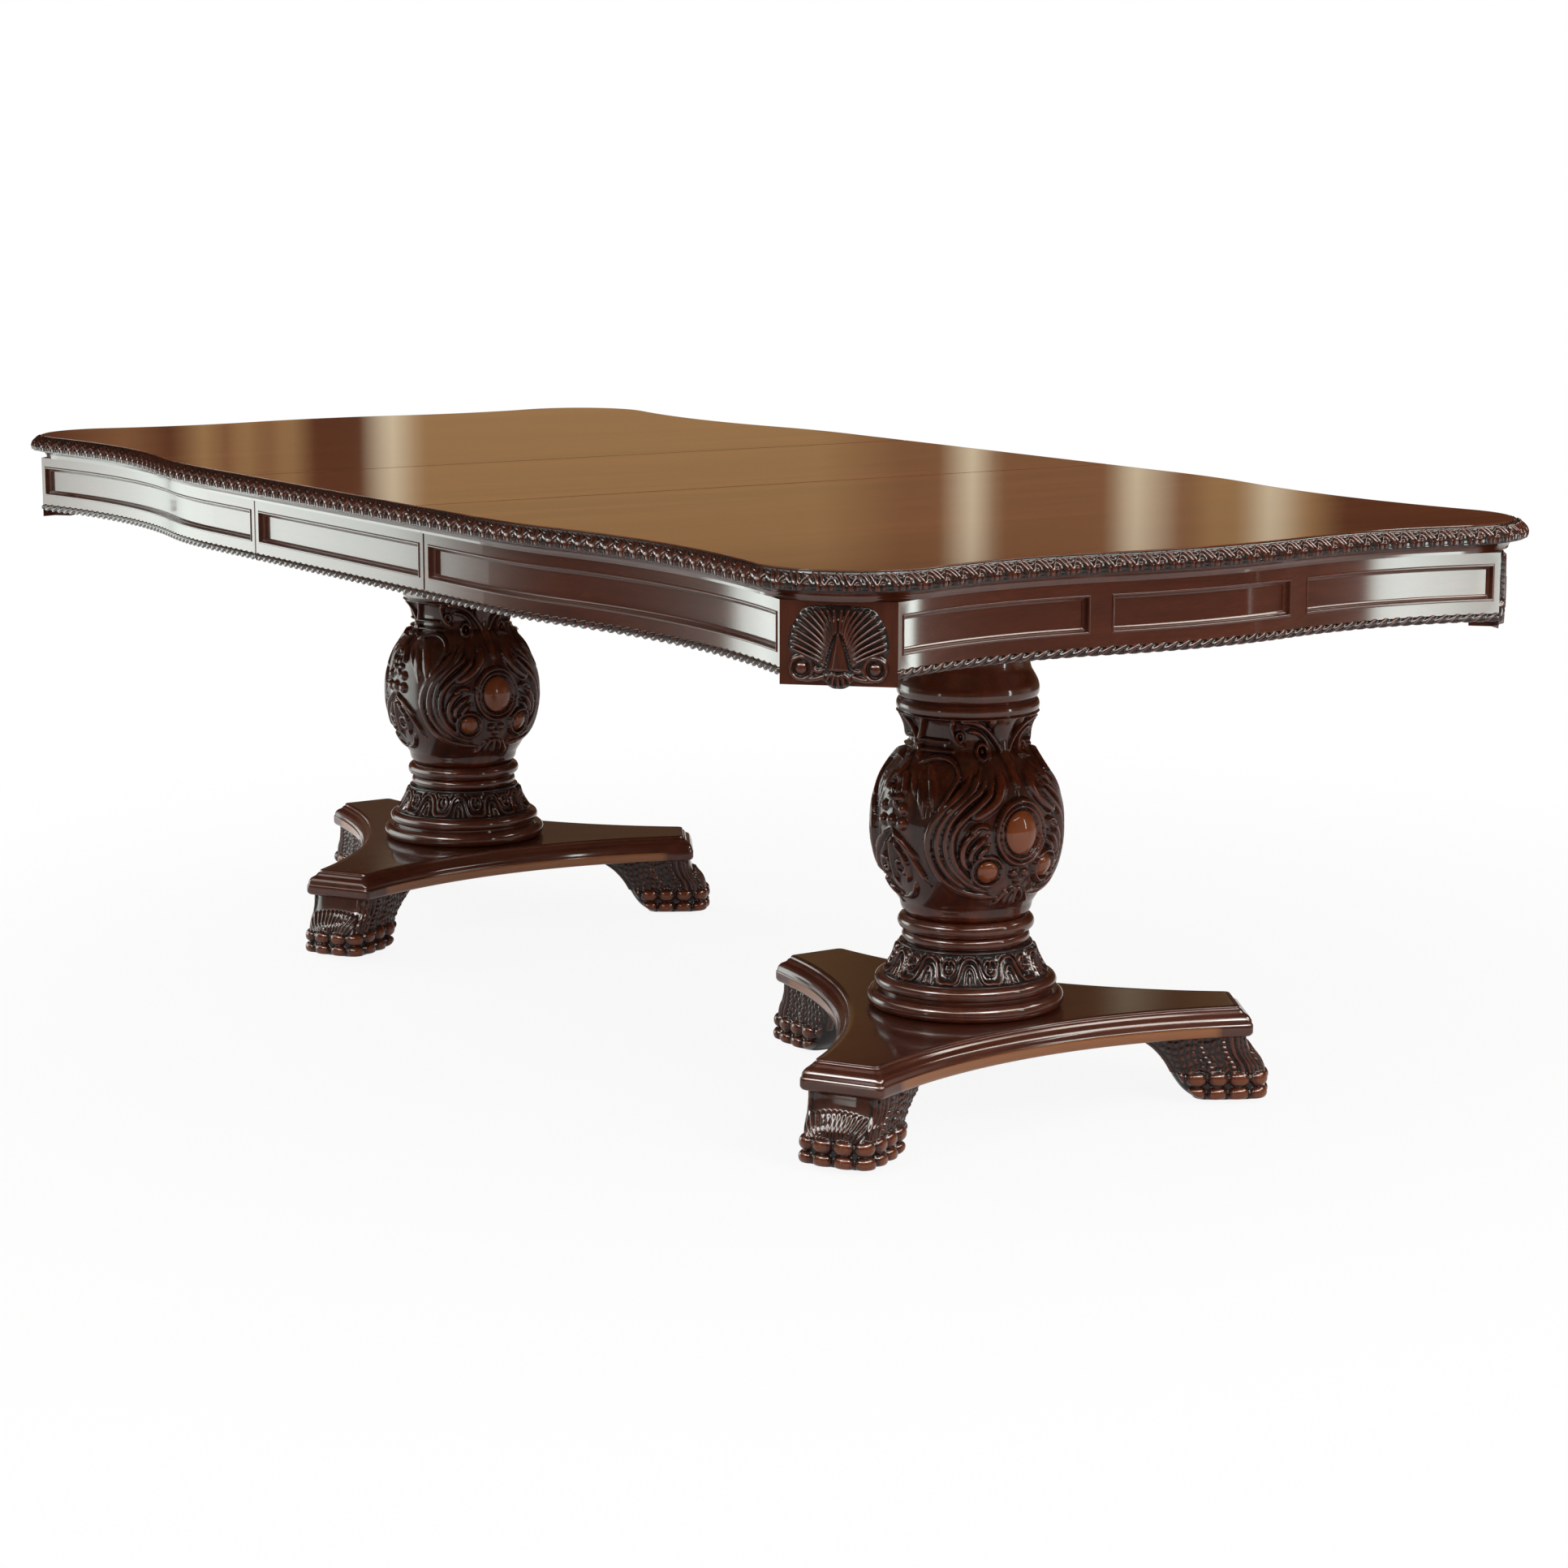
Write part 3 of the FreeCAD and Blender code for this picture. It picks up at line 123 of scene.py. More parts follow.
def smooth_curve(points, count):
    """Catmull-Rom curve through points, read off at count places equally spaced along it."""
    p = np.asarray(points, float)
    p = np.vstack([2 * p[0] - p[1], p, 2 * p[-1] - p[-2]])
    t = np.linspace(0, 1, CURVE_STEPS, endpoint=False)[None, :, None]
    a, b, c, d = (p[i:len(p) - 3 + i, None, :] for i in range(4))
    dense = 0.5 * (2 * b + (c - a) * t + (2 * a - 5 * b + 4 * c - d) * t**2 + (3 * b - a - 3 * c + d) * t**3)
    return resampled(np.vstack([dense.reshape(-1, p.shape[1]), p[-2]]), count)


def beside(a, b, curve):
    """Distance of each place (a, b) from a curve of straight bits, signed by side, and the share of
    the curve's length where it is nearest."""
    start, way = curve[:-1], np.diff(curve, axis=0)
    length = np.linalg.norm(way, axis=1)
    from_a = a[..., None] - start[:, 0]
    from_b = b[..., None] - start[:, 1]
    t = np.clip((from_a * way[:, 0] + from_b * way[:, 1]) / length**2, 0, 1)
    gap = np.hypot(from_a - t * way[:, 0], from_b - t * way[:, 1])
    nearest = gap.argmin(-1)[..., None]
    side = np.sign(way[:, 0] * from_b - way[:, 1] * from_a)
    run = np.cumsum(length) - length
    share = (run + t * length) / length.sum()
    return tuple(np.take_along_axis(array, nearest, -1)[..., 0] for array in (gap * side, share))


def ridge(a, b, width, height, taper, *points):
    """A round ridge along a curve, running out to nothing over the taper share at both ends."""
    gap, share = beside(a, b, smooth_curve(points, RIDGE_POINTS))
    reach = width * (0.25 + 0.75 * ease(0, taper, share) * ease(0, taper, 1 - share))
    return height * dome(gap / reach) * reach / width


def boss(a, b, centre, radii, height):
    """An oval dome."""
    return height * dome(np.hypot((a - centre[0]) / radii[0], (b - centre[1]) / radii[1]))


def ring(a, b, centre, radii, width, height):
    """A round ridge along an oval."""
    away = np.hypot((a - centre[0]) / radii[0], (b - centre[1]) / radii[1]) - 1
    return height * dome(away * min(radii) / width)


def petals(a, b, centre, radius, count, height):
    """A flower: count petals about a centre, with a bead in the middle."""
    away = np.hypot(a - centre[0], b - centre[1]) / radius
    turn = np.arctan2(b - centre[1], a - centre[0])
    leaf = 0.45 + 0.55 * np.abs(np.cos(turn * count / 2))
    return np.maximum(height * dome(away / leaf) * (0.4 + 0.6 * away), 1.2 * height * dome(away / 0.3))


def raised(a, b, ridges, bosses=(), rings=()):
    """The highest of a table of ridges (width, height, taper, points), one of bosses (centre, radii, height) and
    one of rings (centre, radii, width, height)."""
    return np.maximum.reduce([kind(a, b, *row) for kind, rows in ((ridge, ridges), (boss, bosses), (ring, rings))
                              for row in rows])


def spread(field, times, wrap):
    """A field blurred by averaging each place with its neighbours, along both ways of the grid."""
    for _ in range(times):
        for axis in (0, 1):
            padded = np.pad(field, [(1, 1) if i == axis else (0, 0) for i in (0, 1)],
                            mode="wrap" if wrap and axis == 0 else "edge")
            size = field.shape[axis]
            first, middle, last = (np.take(padded, np.arange(i, i + size), axis) for i in range(3))
            field = (first + 2 * middle + last) / 4
    return field


def recess_glaze_and_shade(height, times, depth, wrap=True):
    """How proud each place stands of its surroundings, from 0 in a recess up to that of a ridge: glaze
    stays in the recesses, darkening them as glaze and as painted shade, and is wiped off the ridges."""
    return np.clip(EVEN_GLAZE_AND_LIGHT + (height - spread(height, times, wrap)) / depth, 0, RIDGE_GLAZE_AND_LIGHT)


# Meshes.
def grid_faces(rows, columns, wrap_rows=False, wrap_columns=False):
    """Quads between the points of a grid that is numbered row by row."""
    i, j = np.meshgrid(np.arange(rows - (not wrap_rows)), np.arange(columns - (not wrap_columns)), indexing="ij")
    below, beyond = (i + 1) % rows, (j + 1) % columns
    corners = (i * columns + j, below * columns + j, below * columns + beyond, i * columns + beyond)
    return np.stack(corners, -1).reshape(-1, 4)


def linked(name, data):
    """An object in the scene that holds a mesh, a light or a camera."""
    item = bpy.data.objects.new(name, data)
    bpy.context.scene.collection.objects.link(item)
    return item


class Shape:
    """Points, faces, and glaze with painted light, of a piece, gathered tube by tube."""

    def __init__(self):
        self.points, self.quads, self.triangles, self.glaze_and_painted_light = [], [], [], []
        self.count = 0

    def add(self, points, glaze_and_painted_light=EVEN_GLAZE_AND_LIGHT, closed=False, flip=False):
        """Adds a tube of points, its columns going round it. Fans to their middles close its two ends, or, in a
        closed tube, the last row joins the first. flip turns the faces over."""
        rows, columns = points.shape[:2]
        quads = grid_faces(rows, columns, closed, True)
        hubs, fans = np.zeros((0, 3)), np.zeros((0, 3), int)
        if not closed:
            hubs = np.stack([points[0].mean(0), points[-1].mean(0)])
            here = np.arange(columns)
            after, last = (here + 1) % columns, (rows - 1) * columns
            hub = np.full(columns, rows * columns)
            fans = np.concatenate([np.stack([hub, here, after], -1),
                                   np.stack([hub + 1, last + after, last + here], -1)])
        if flip:
            quads, fans = quads[:, ::-1], fans[:, ::-1]
        self.points += [points.reshape(-1, 3), hubs]
        self.quads.append(quads + self.count)
        self.triangles.append(fans + self.count)
        self.glaze_and_painted_light += [np.broadcast_to(glaze_and_painted_light, (rows, columns)).ravel(), np.full(len(hubs), EVEN_GLAZE_AND_LIGHT)]
        self.count += rows * columns + len(hubs)

    def piece(self, half, name, material, slot, node=None):
        """Makes the object, in metres, ties it to its body and hides the node that it stands for; slot is not used."""
        mesh = bpy.data.meshes.new(f"{half}_{name}")
        points = np.concatenate(self.points) * MM
        quads, triangles = np.concatenate(self.quads), np.concatenate(self.triangles)
        corners = np.concatenate([quads.ravel(), triangles.ravel()]).astype(np.int32)
        starts = np.concatenate([np.arange(len(quads)) * 4, quads.size + np.arange(len(triangles)) * 3])
        for layer, key, values in ((mesh.vertices, "co", points.astype(np.float32)),
                                   (mesh.loops, "vertex_index", corners),
                                   (mesh.polygons, "loop_start", starts.astype(np.int32))):
            layer.add(len(values))
            layer.foreach_set(key, values.ravel())
        mesh.polygons.foreach_set("use_smooth", np.ones(len(starts), bool))
        mesh.update(calc_edges=True)
        # glaze and painted light at each point: painted shade in recesses, painted highlight and reflection where
        # higher
        glaze_and_painted_light = mesh.attributes.new("glaze_and_painted_light", "FLOAT", "POINT")
        glaze_and_painted_light.data.foreach_set("value", np.concatenate(self.glaze_and_painted_light).astype(np.float32))
        mesh.validate()
        mesh.materials.append(material)
        item = linked(f"{half}_{name}", mesh)
        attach(item, BODY[half])
        if node:
            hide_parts(f"{half}_{node}")


# Materials.
def srgb(code):
    """An sRGB hex colour in linear light."""
    value = np.array([int(code[i:i + 2], 16) for i in (1, 3, 5)]) / 255
    linear = np.where(value <= 0.04045, value / 12.92, ((value + 0.055) / 1.055)**2.4)
    return (*linear.tolist(), 1.0)


def add_node(tree, kind, inputs=None, stops=(), **settings):
    """Adds a node with its settings; an input is a plain value or another node's output, and stops are the
    (place, hex colour) pairs of a colour ramp."""
    item = tree.nodes.new(kind)
    for key, value in settings.items():
        setattr(item, key, value)
    for _ in stops[2:]:
        item.color_ramp.elements.new(0.5)
    for number, (place, colour) in enumerate(stops):
        item.color_ramp.elements[number].position = place
        item.color_ramp.elements[number].color = srgb(colour)
    for key, value in (inputs or {}).items():
        if isinstance(value, bpy.types.NodeSocket):
            tree.links.new(value, item.inputs[key])
        else:
            item.inputs[key].default_value = value
    return item


def own_place(tree):
    """A piece's own coordinates."""
    return add_node(tree, "ShaderNodeTexCoord").outputs["Object"]


def own_glaze_and_painted_light(tree):
    """The glaze and painted light that a piece carries at its points: dark glaze with painted shade in its recesses,
    a lighter wiped stain with painted highlight, and on a platform's band a painted reflection.
    """
    return add_node(tree, "ShaderNodeAttribute", attribute_name="glaze_and_painted_light").outputs["Fac"]


def maths(tree, operation, *values):
    """A sum of values."""
    return add_node(tree, "ShaderNodeMath", dict(enumerate(values)), operation=operation).outputs[0]


def mapped(tree, value, start, stop, low=0.0, high=1.0, **settings):
    """A value carried from the range start to stop over to the range low to high."""
    inputs = {"Value": value, "From Min": start, "From Max": stop, "To Min": low, "To Max": high}
    return add_node(tree, "ShaderNodeMapRange", inputs, **settings).outputs["Result"]


def mixed(tree, share, first, second):
    """A colour between two others; the colour sockets of the node share their names, so they go by number."""
    return add_node(tree, "ShaderNodeMix", {"Factor": share, 6: first, 7: second}, data_type="RGBA").outputs[2]


def new_material(name):
    """A node material and its empty tree."""
    material = bpy.data.materials.new(name)
    material.use_nodes = True
    material.node_tree.nodes.clear()
    return material, material.node_tree


def cover(tree, colour, texture, strength, depth, inputs):
    """Shader and output of a material: its colour, a bump from a texture, and its other inputs."""
    bump = add_node(tree, "ShaderNodeBump", {"Height": texture, "Strength": strength, "Distance": depth})
    shader = add_node(tree, "ShaderNodeBsdfPrincipled", {"Base Color": colour, "Normal": bump.outputs[0], **inputs})
    add_node(tree, "ShaderNodeOutputMaterial", {"Surface": shader.outputs[0]})


def drawn_noise(tree, along, width, length, inputs):
    """Noise about width wide, drawn out to a length along an axis."""
    scale = [1 / width] * 3
    scale[along] = 1 / length
    drawn = add_node(tree, "ShaderNodeMapping", {"Vector": own_place(tree), "Scale": scale})
    return add_node(tree, "ShaderNodeTexNoise", {"Vector": drawn.outputs[0], "Scale": 1.0, **inputs}).outputs["Fac"]


def wood_figure(tree, along, stops, width, length, fibre):
    """Colour of straight-grained wood: broad bands about width wide and length long that run with the
    grain, and dark pores a fibre wide and twenty long. along is the axis of the grain."""
    figure = drawn_noise(tree, along, width, length, {"Detail": 5.0, "Roughness": 0.62, "Distortion": 0.6})
    flecks = drawn_noise(tree, along, fibre, 20 * fibre, {"Detail": 2.0})
    total = maths(tree, "ADD", figure, mapped(tree, flecks, 0.35, 0.7, -0.09, 0.09))
    return add_node(tree, "ShaderNodeValToRGB", {"Fac": total}, stops).outputs["Color"], flecks


def clear_coat(roughness, ior):
    """Shader inputs of lacquer over stained wood."""
    return {"IOR": 1.5, "Specular IOR Level": 0.15, "Coat Weight": 1.0, "Coat Roughness": roughness, "Coat IOR": ior}


def lacquered(name, along, stops, width, length, fibre, gloss, painted_reflection=False):
    """Stained wood under rubbed lacquer: grain colour below, a clear coat above that mirrors softly. One with a
    painted reflection takes a warm orange-brown painted reflection where its glaze and painted light is 1."""
    material, tree = new_material(name)
    colour, flecks = wood_figure(tree, along, stops, width, length, fibre)
    if painted_reflection:
        # painted reflection: a warm orange-brown, as from a warm floor, where the piece's painted light is high
        colour = mixed(tree, mapped(tree, own_glaze_and_painted_light(tree), EVEN_GLAZE_AND_LIGHT, 1.0, 0.0, 0.75), colour, srgb("#8a5429"))
    cover(tree, colour, flecks, 0.05, 0.0004, {"Roughness": 0.38, **clear_coat(gloss, 1.5)})
    return material


def mahogany(way, along, width=0.022, length=0.35, painted_reflection=False):
    """Mahogany stained dark, under gloss lacquer."""
    stops = ((0.25, "#381609"), (0.50, "#431c0e"), (0.75, "#502414"))
    return lacquered(f"mahogany_lacquer_{way}", along, stops, width, length, 0.0012, 0.09, painted_reflection)


def glazed_and_shaded_carving():
    """Carved mahogany: dark glaze left in the cuts, deepened with painted shade, stain showing on the wiped ridges,
    a lighter wiped stain with painted highlight on the cabochons and toes, gloss lacquer over all.
    """
    material, tree = new_material("carved_mahogany_glazed_and_shaded")
    stops = ((0.28, "#2a0d05"), (0.50, "#401707"), (0.72, "#58240f"))
    colour, flecks = wood_figure(tree, 2, stops, 0.018, 0.12, 0.0012)
    glaze_and_painted_light = own_glaze_and_painted_light(tree)
    # near-black in the recesses: dark glaze with painted shade
    colour = mixed(tree, mapped(tree, glaze_and_painted_light, 0.28, 0.62), srgb("#0d0503"), colour)
    # a lighter orange-brown where the glaze is highest: wiped stain with painted highlight
    colour = mixed(tree, mapped(tree, glaze_and_painted_light, RIDGE_GLAZE_AND_LIGHT, 1.0, 0.0, 0.8), colour, srgb("#80421e"))
    dull = mapped(tree, glaze_and_painted_light, 0.3, 0.7, 0.6, 0.3)
    cover(tree, colour, flecks, 0.06, 0.0005, {"Roughness": dull, **clear_coat(0.05, 1.42)})
    return material


def planed_timber():
    """Planed beech under the top, waxed and left unstained: pale, dull, with fine straight grain."""
    material, tree = new_material("beech_planed")
    stops = ((0.3, "#8d633c"), (0.5, "#a97c50"), (0.7, "#bd9265"))
    colour, flecks = wood_figure(tree, 0, stops, 0.015, 0.4, 0.0015)
    cover(tree, colour, flecks, 0.2, 0.0005, {"Roughness": 0.6})
    return material


def plain_finish(name, colour, other, grit, roughness, metallic=0.0):
    """A plain finish with a faint mottle about a grit wide."""
    material, tree = new_material(name)
    mottle = add_node(tree, "ShaderNodeTexNoise", {"Vector": own_place(tree), "Scale": 1 / grit, "Detail": 3.0})
    mottle = mottle.outputs["Fac"]
    tint = add_node(tree, "ShaderNodeValToRGB", {"Fac": mottle}, ((0.35, colour), (0.65, other)))
    cover(tree, tint.outputs["Color"], mottle, 0.1, 0.0003, {"Roughness": roughness, "Metallic": metallic})
    return material


# Cherry veneer, laid with its grain across the table, filled and lacquered to a mirror.
VENEER = lacquered("cherry_veneer_lacquer", 1, ((0.25, "#4b2112"), (0.45, "#6a331b"), (0.58, "#7d4224"),
                                                (0.75, "#965632")), 0.045, 0.9, 0.0016, 0.07)
# Mahogany, one material for each way that the grain runs, and one with a painted reflection on a platform's sides.
LONG_GRAIN = mahogany("long_grain", 0)
CROSS_GRAIN = mahogany("cross_grain", 1)
UPRIGHT_GRAIN = mahogany("upright_grain", 2, 0.020, 0.30)
PAINTED_REFLECTION = mahogany("painted_reflection_band", 1, painted_reflection=True)
CARVED = glazed_and_shaded_carving()
BEECH = planed_timber()
# Zinc plated steel: bluish grey, satin, with a faint crystalline mottle.
ZINC = plain_finish("steel_zinc_plated", "#8f9499", "#a9adb0", 0.004, 0.32, 1.0)
# Moulded nylon: off-white, waxy.
NYLON = plain_finish("nylon_moulded", "#cfc8b8", "#ddd7c9", 0.003, 0.45)

FINISHES = (
    (VENEER, "top_panel"), (LONG_GRAIN, "cove_moulding front_apron back_apron"), (CROSS_GRAIN, "end_apron platform"),
    (UPRIGHT_GRAIN, "corner_blocks base_torus column_collar column_cap"),
    (CARVED, "edge_moulding rope_mouldings shell_carvings carved_band carved_vase paw_feet"),
    (BEECH, "slide_rails cross_battens mount_plate"), (NYLON, "foot_glides"),
    (ZINC, "locating_pins rail_screws mount_bolts tie_rod tie_nuts foot_bolts"))
LEAF_FINISHES = (
    (VENEER, "leaf_panel"), (CARVED, "leaf_edge_mouldings leaf_rope_mouldings"), (BEECH, "centre_slide_rails"),
    (LONG_GRAIN, "leaf_cove_mouldings leaf_front_apron leaf_back_apron"))
for prefix, finishes in (("left_", FINISHES), ("right_", FINISHES), ("", LEAF_FINISHES)):
    for finish, names in finishes:
        for name in names.split():
            for material_slot in nodes[prefix + name].material_slots:
                material_slot.material = finish


# Plan paths: points with outward normals.
def arc(centre, radius, start, stop, outward):
    """Points of an arc between two angles, with normals away from its centre or, for outward -1, to it."""
    angle = np.linspace(start, stop, ARC_POINTS)
    way = np.stack([np.cos(angle), np.sin(angle)], -1)
    return np.hstack([np.asarray(centre) + radius * way, outward * way])


def swept(run, dip):
    """Angle and radius of an arc that leaves its tangent by a dip over a run: its chord turns half as far."""
    angle = 2 * math.atan(dip / run)
    return angle, run / math.sin(angle)


def plan_arcs():
    """The tangent arcs of the quarter where x and y are positive: the long side runs straight, turns in
    over a convex arc and out over a concave one to the corner, and the end does the same from its middle."""
    side_low = HALF_WIDTH - SIDE_DIP
    side_flare, side_hollow = swept(SIDE_HOLLOW_RUN, BLOCK_Y - side_low)
    side_x = BLOCK_X - SIDE_HOLLOW_RUN
    side_turn, side_both = swept(side_x - SIDE_STRAIGHT, SIDE_DIP)
    side_round = side_both - side_hollow
    end_low = HALF_LENGTH - END_DIP
    end_flare, end_hollow = swept(END_HOLLOW_RUN, END_DIP)
    end_y = BLOCK_Y - CANT - END_HOLLOW_RUN
    end_turn, end_both = swept(end_y, END_BULGE)
    end_round = end_both - end_hollow
    quarter = math.pi / 2
    side_centre = np.array([side_x, side_low + side_hollow])
    end_centre = np.array([end_low + end_hollow, end_y])
    level = np.linspace(0, 1, LINE_POINTS)[:, None]
    straight = np.hstack([HALF_SEAM + (SIDE_STRAIGHT - HALF_SEAM) * level, np.full_like(level, HALF_WIDTH),
                          np.zeros_like(level), np.ones_like(level)])
    bulge = arc((SIDE_STRAIGHT, HALF_WIDTH - side_round), side_round, quarter, quarter - side_turn, 1)
    middle = arc((end_low + END_BULGE - end_round, 0), end_round, end_turn, 0, 1)

    def side_hollow_to(angle):
        return arc(side_centre, side_hollow, -quarter - side_turn, -quarter + angle, -1)

    def end_hollow_from(angle):
        return arc(end_centre, end_hollow, math.pi - angle, math.pi + end_turn, -1)

    link = end_centre - side_centre
    span = np.linalg.norm(link)
    reach, other = side_hollow + CORNER_RADIUS, end_hollow + CORNER_RADIUS
    along = (span**2 + reach**2 - other**2) / (2 * span)
    away = math.sqrt(reach**2 - along**2)
    link = link / span
    corner = side_centre + link * along + np.array([link[1], -link[0]]) * away
    to_side, to_end = side_centre - corner, end_centre - corner
    bend = arc(corner, CORNER_RADIUS, math.atan2(to_side[1], to_side[0]), math.atan2(to_end[1], to_end[0]), 1)
    side_angle = math.atan2(-to_side[0], to_side[1])
    end_angle = math.atan2(-to_end[1], to_end[0])
    return {
        "side": np.vstack([straight, bulge[1:], side_hollow_to(side_flare)[1:]]),
        "end": np.vstack([end_hollow_from(end_flare), middle[1:]]),
        "rounded": np.vstack([straight, bulge[1:], side_hollow_to(side_angle)[1:], bend[1:],
                              end_hollow_from(end_angle)[1:], middle[1:]]),
    }


QUARTER = plan_arcs()
FRONT = np.array([1, -1, 1, -1])


def walked(path, count, offset=0.0):
    """A path read off at count places that are equally spaced along the line an offset outside it."""
    run = length_along(path[:, :2] + offset * path[:, 2:])
    want = np.linspace(0, run[-1], count)
    read = read_off(path, run, want)
    read[:, 2:] /= np.linalg.norm(read[:, 2:], axis=1, keepdims=True)
    return read, want


def path_length(path, offset=0.0):
    """Length of the line an offset outside a path."""
    return walked(path, 2, offset)[1][-1]


def there_and_back(quarter):
    """A quarter path from the front seam to the middle of the end and on to the back seam."""
    return np.vstack([quarter * FRONT, quarter[-2::-1]])


ROUND_HALF = there_and_back(QUARTER["rounded"])
END_RUN = there_and_back(QUARTER["end"])
FRONT_RUN = QUARTER["side"] * FRONT
BACK_RUN = QUARTER["side"][::-1]
level = np.linspace(-LEAF_EDGE, LEAF_EDGE, LINE_POINTS)[:, None]
LEAF_FRONT = np.hstack([level, np.full_like(level, -HALF_WIDTH), np.zeros_like(level), -np.ones_like(level)])
LEAF_RUNS = (LEAF_FRONT, LEAF_FRONT * -1)
# The paths are those of the right half and the leaf; the left half is the right one turned half round.
TURN = {"left": np.array([-1.0, -1.0, 1.0]), "right": 1.0, "leaf": 1.0}


def carried(path, offset, height):
    """Points an offset outside a path at a height; offset and height vary over the grid."""
    flat = path[:, None, :2] + offset[..., None] * path[:, None, 2:]
    return np.concatenate([flat, height[..., None]], -1)


def section_normals(section):
    """Unit normals of an open section (offset, height), to the left of its way."""
    way = np.gradient(section, axis=0)
    normal = np.stack([-way[:, 1], way[:, 0]], -1)
    return normal / np.linalg.norm(normal, axis=1, keepdims=True)


# Carved edge: its pitch, measured on a line this far outside the apron's face, and how deep its ground lies.
EDGE_PITCH = 28.0
EDGE_STEPS = 24
EDGE_LINE = 20.0
EDGE_GROUND = 3.2
EDGE_NOSE = smooth_curve([(12.4, 779.0), (17.2, 776.9), (20.7, 773.9), (25.2, 769.1), (27.0, 764.0),
                          (26.3, 759.0), (24.5, PANEL_BOTTOM)], 27)
EDGE_BACK = np.array([(9.2, PANEL_BOTTOM), (9.2, 776.5)])
# Leaf-and-arch carving of one pitch, along it and up from the foot of the nose: two flutes that lean over like an S,
# and beside them an arch with a tongue under it and a curl over it.
EDGE_RIDGES = (
    (2.3, 4.4, 0.05, (-2, 26), (4, 20), (8, 10), (9, 1)),
    (2.1, 4.2, 0.05, (5, 27), (11, 20), (14, 10), (14.5, 1)),
    (1.9, 4.4, 0.03, (17.3, 1), (17.6, 10), (20, 16.5), (23.5, 18.5), (26.6, 15.5), (28, 7), (28.2, 1)),
    (2.6, 4.0, 0.2, (22.8, 1), (23.1, 7), (22.8, 12.5)),
    (1.7, 3.0, 0.12, (14, 27), (18.5, 22.5), (23, 22.8)))


def carved_edge(shape, path, turn):
    """The edge moulding carried along a path, its nose pushed out and in by the carving."""
    steps = max(1, round(path_length(path, EDGE_LINE) / EDGE_PITCH)) * EDGE_STEPS
    read, along = walked(path, steps + 1, EDGE_LINE)
    run = length_along(EDGE_NOSE)
    a, up = np.meshgrid(np.arange(EDGE_STEPS) * EDGE_PITCH / EDGE_STEPS, run[-1] - run, indexing="ij")
    motif = np.maximum(raised(a, up, EDGE_RIDGES), raised(a - EDGE_PITCH, up, EDGE_RIDGES))
    high = motif[np.arange(steps + 1) % EDGE_STEPS]
    fade = ease(0, 2.0, run) * ease(0, 1.5, run[-1] - run)
    relief = (high - EDGE_GROUND) * fade
    normal = section_normals(EDGE_NOSE)
    back = np.ones((len(along), 1))
    offset = np.hstack([EDGE_NOSE[:, 0] + normal[:, 0] * relief, back * EDGE_BACK[:, 0]])
    height = np.hstack([EDGE_NOSE[:, 1] + normal[:, 1] * relief, back * EDGE_BACK[:, 1]])
    # dark glaze with painted shade on the ground between the carving, and the back darkest of all
    glaze_and_painted_light = np.hstack([recess_glaze_and_shade(high, 4, 2.4, False) * ease(0, 2.4, high) * fade, back * [0, 0]])
    shape.add(carried(read, offset, height) * turn, glaze_and_painted_light)


# Rope moulding.
ROPE_LAY = 17.5
ROPE_RADIUS = 6.4
ROPE_SETBACK = 3.2
ROPE_HEIGHT = APRON_BOTTOM - ROPE_RADIUS * math.sin(math.radians(40))
ROPE_STEP = 1.15
ROPE_COLUMNS = 20
# Radius of the rope in its grooves, and how far its strands swell over that, as shares.
ROPE_GROOVE, ROPE_SWELL = 0.32, 0.7


def rope(shape, path, turn):
    """Three-strand rope along a path: a tube whose radius swells over each strand, the strands winding on
    by one third of a turn in each lay."""
    read, along = walked(path, int(path_length(path) / ROPE_STEP))
    angle = np.linspace(0, 2 * np.pi, ROPE_COLUMNS, endpoint=False)
    swell = np.abs(np.cos(3 * angle[None, :] / 2 - np.pi * along[:, None] / ROPE_LAY))
    radius = ROPE_RADIUS * (ROPE_GROOVE + ROPE_SWELL * swell**0.65)
    points = carried(read, -ROPE_SETBACK + radius * np.cos(angle), ROPE_HEIGHT + radius * np.sin(angle))
    # darkest in the grooves between the strands: glaze with painted shade
    shape.add(points * turn, 0.6 * ease(0.3, 0.9, swell), flip=True)


HALF_RUNS = (FRONT_RUN, END_RUN, BACK_RUN)
for half, edges, ropes, node in (("left", (ROUND_HALF,), HALF_RUNS, "edge_moulding"),
                                 ("right", (ROUND_HALF,), HALF_RUNS, "edge_moulding"),
                                 ("leaf", LEAF_RUNS, LEAF_RUNS, "edge_mouldings")):
    edging, roping = Shape(), Shape()
    for path in edges:
        carved_edge(edging, path, TURN[half])
    for path in ropes:
        rope(roping, path, TURN[half])
    edging.piece(half, "carved_edge", CARVED, "carved_wood", node)
    roping.piece(half, "rope", CARVED, "carved_wood", "rope_mouldings")


# Carved columns.
def arc_radius(height, start, stop, radius, side):
    """Radius at a height on the arc between two (radius, height) points: it bulges out for side 1."""
    start, stop = np.array(start), np.array(stop)
    chord = stop - start
    span = np.linalg.norm(chord)
    lean = math.sqrt(radius**2 - span**2 / 4) * side / span
    centre = (start + stop) / 2 + np.array([-chord[1], chord[0]]) * lean
    return centre[0] + side * np.sqrt(np.clip(radius**2 - (height - centre[1])**2, 0, None))


# Arcs of the vase's outline: two (radius, height) points, the radius of the arc, and 1 where it bulges out.
BELLY, SHOULDER = (124.0, VASE_BELLY), (81.0, VASE_SHOULDER)
VASE_ARCS = (((78.0, VASE_BOTTOM), BELLY, 166.0, 1), (BELLY, SHOULDER, 145.0, 1),
             (SHOULDER, (85.0, VASE_TOP), 90.0, -1))
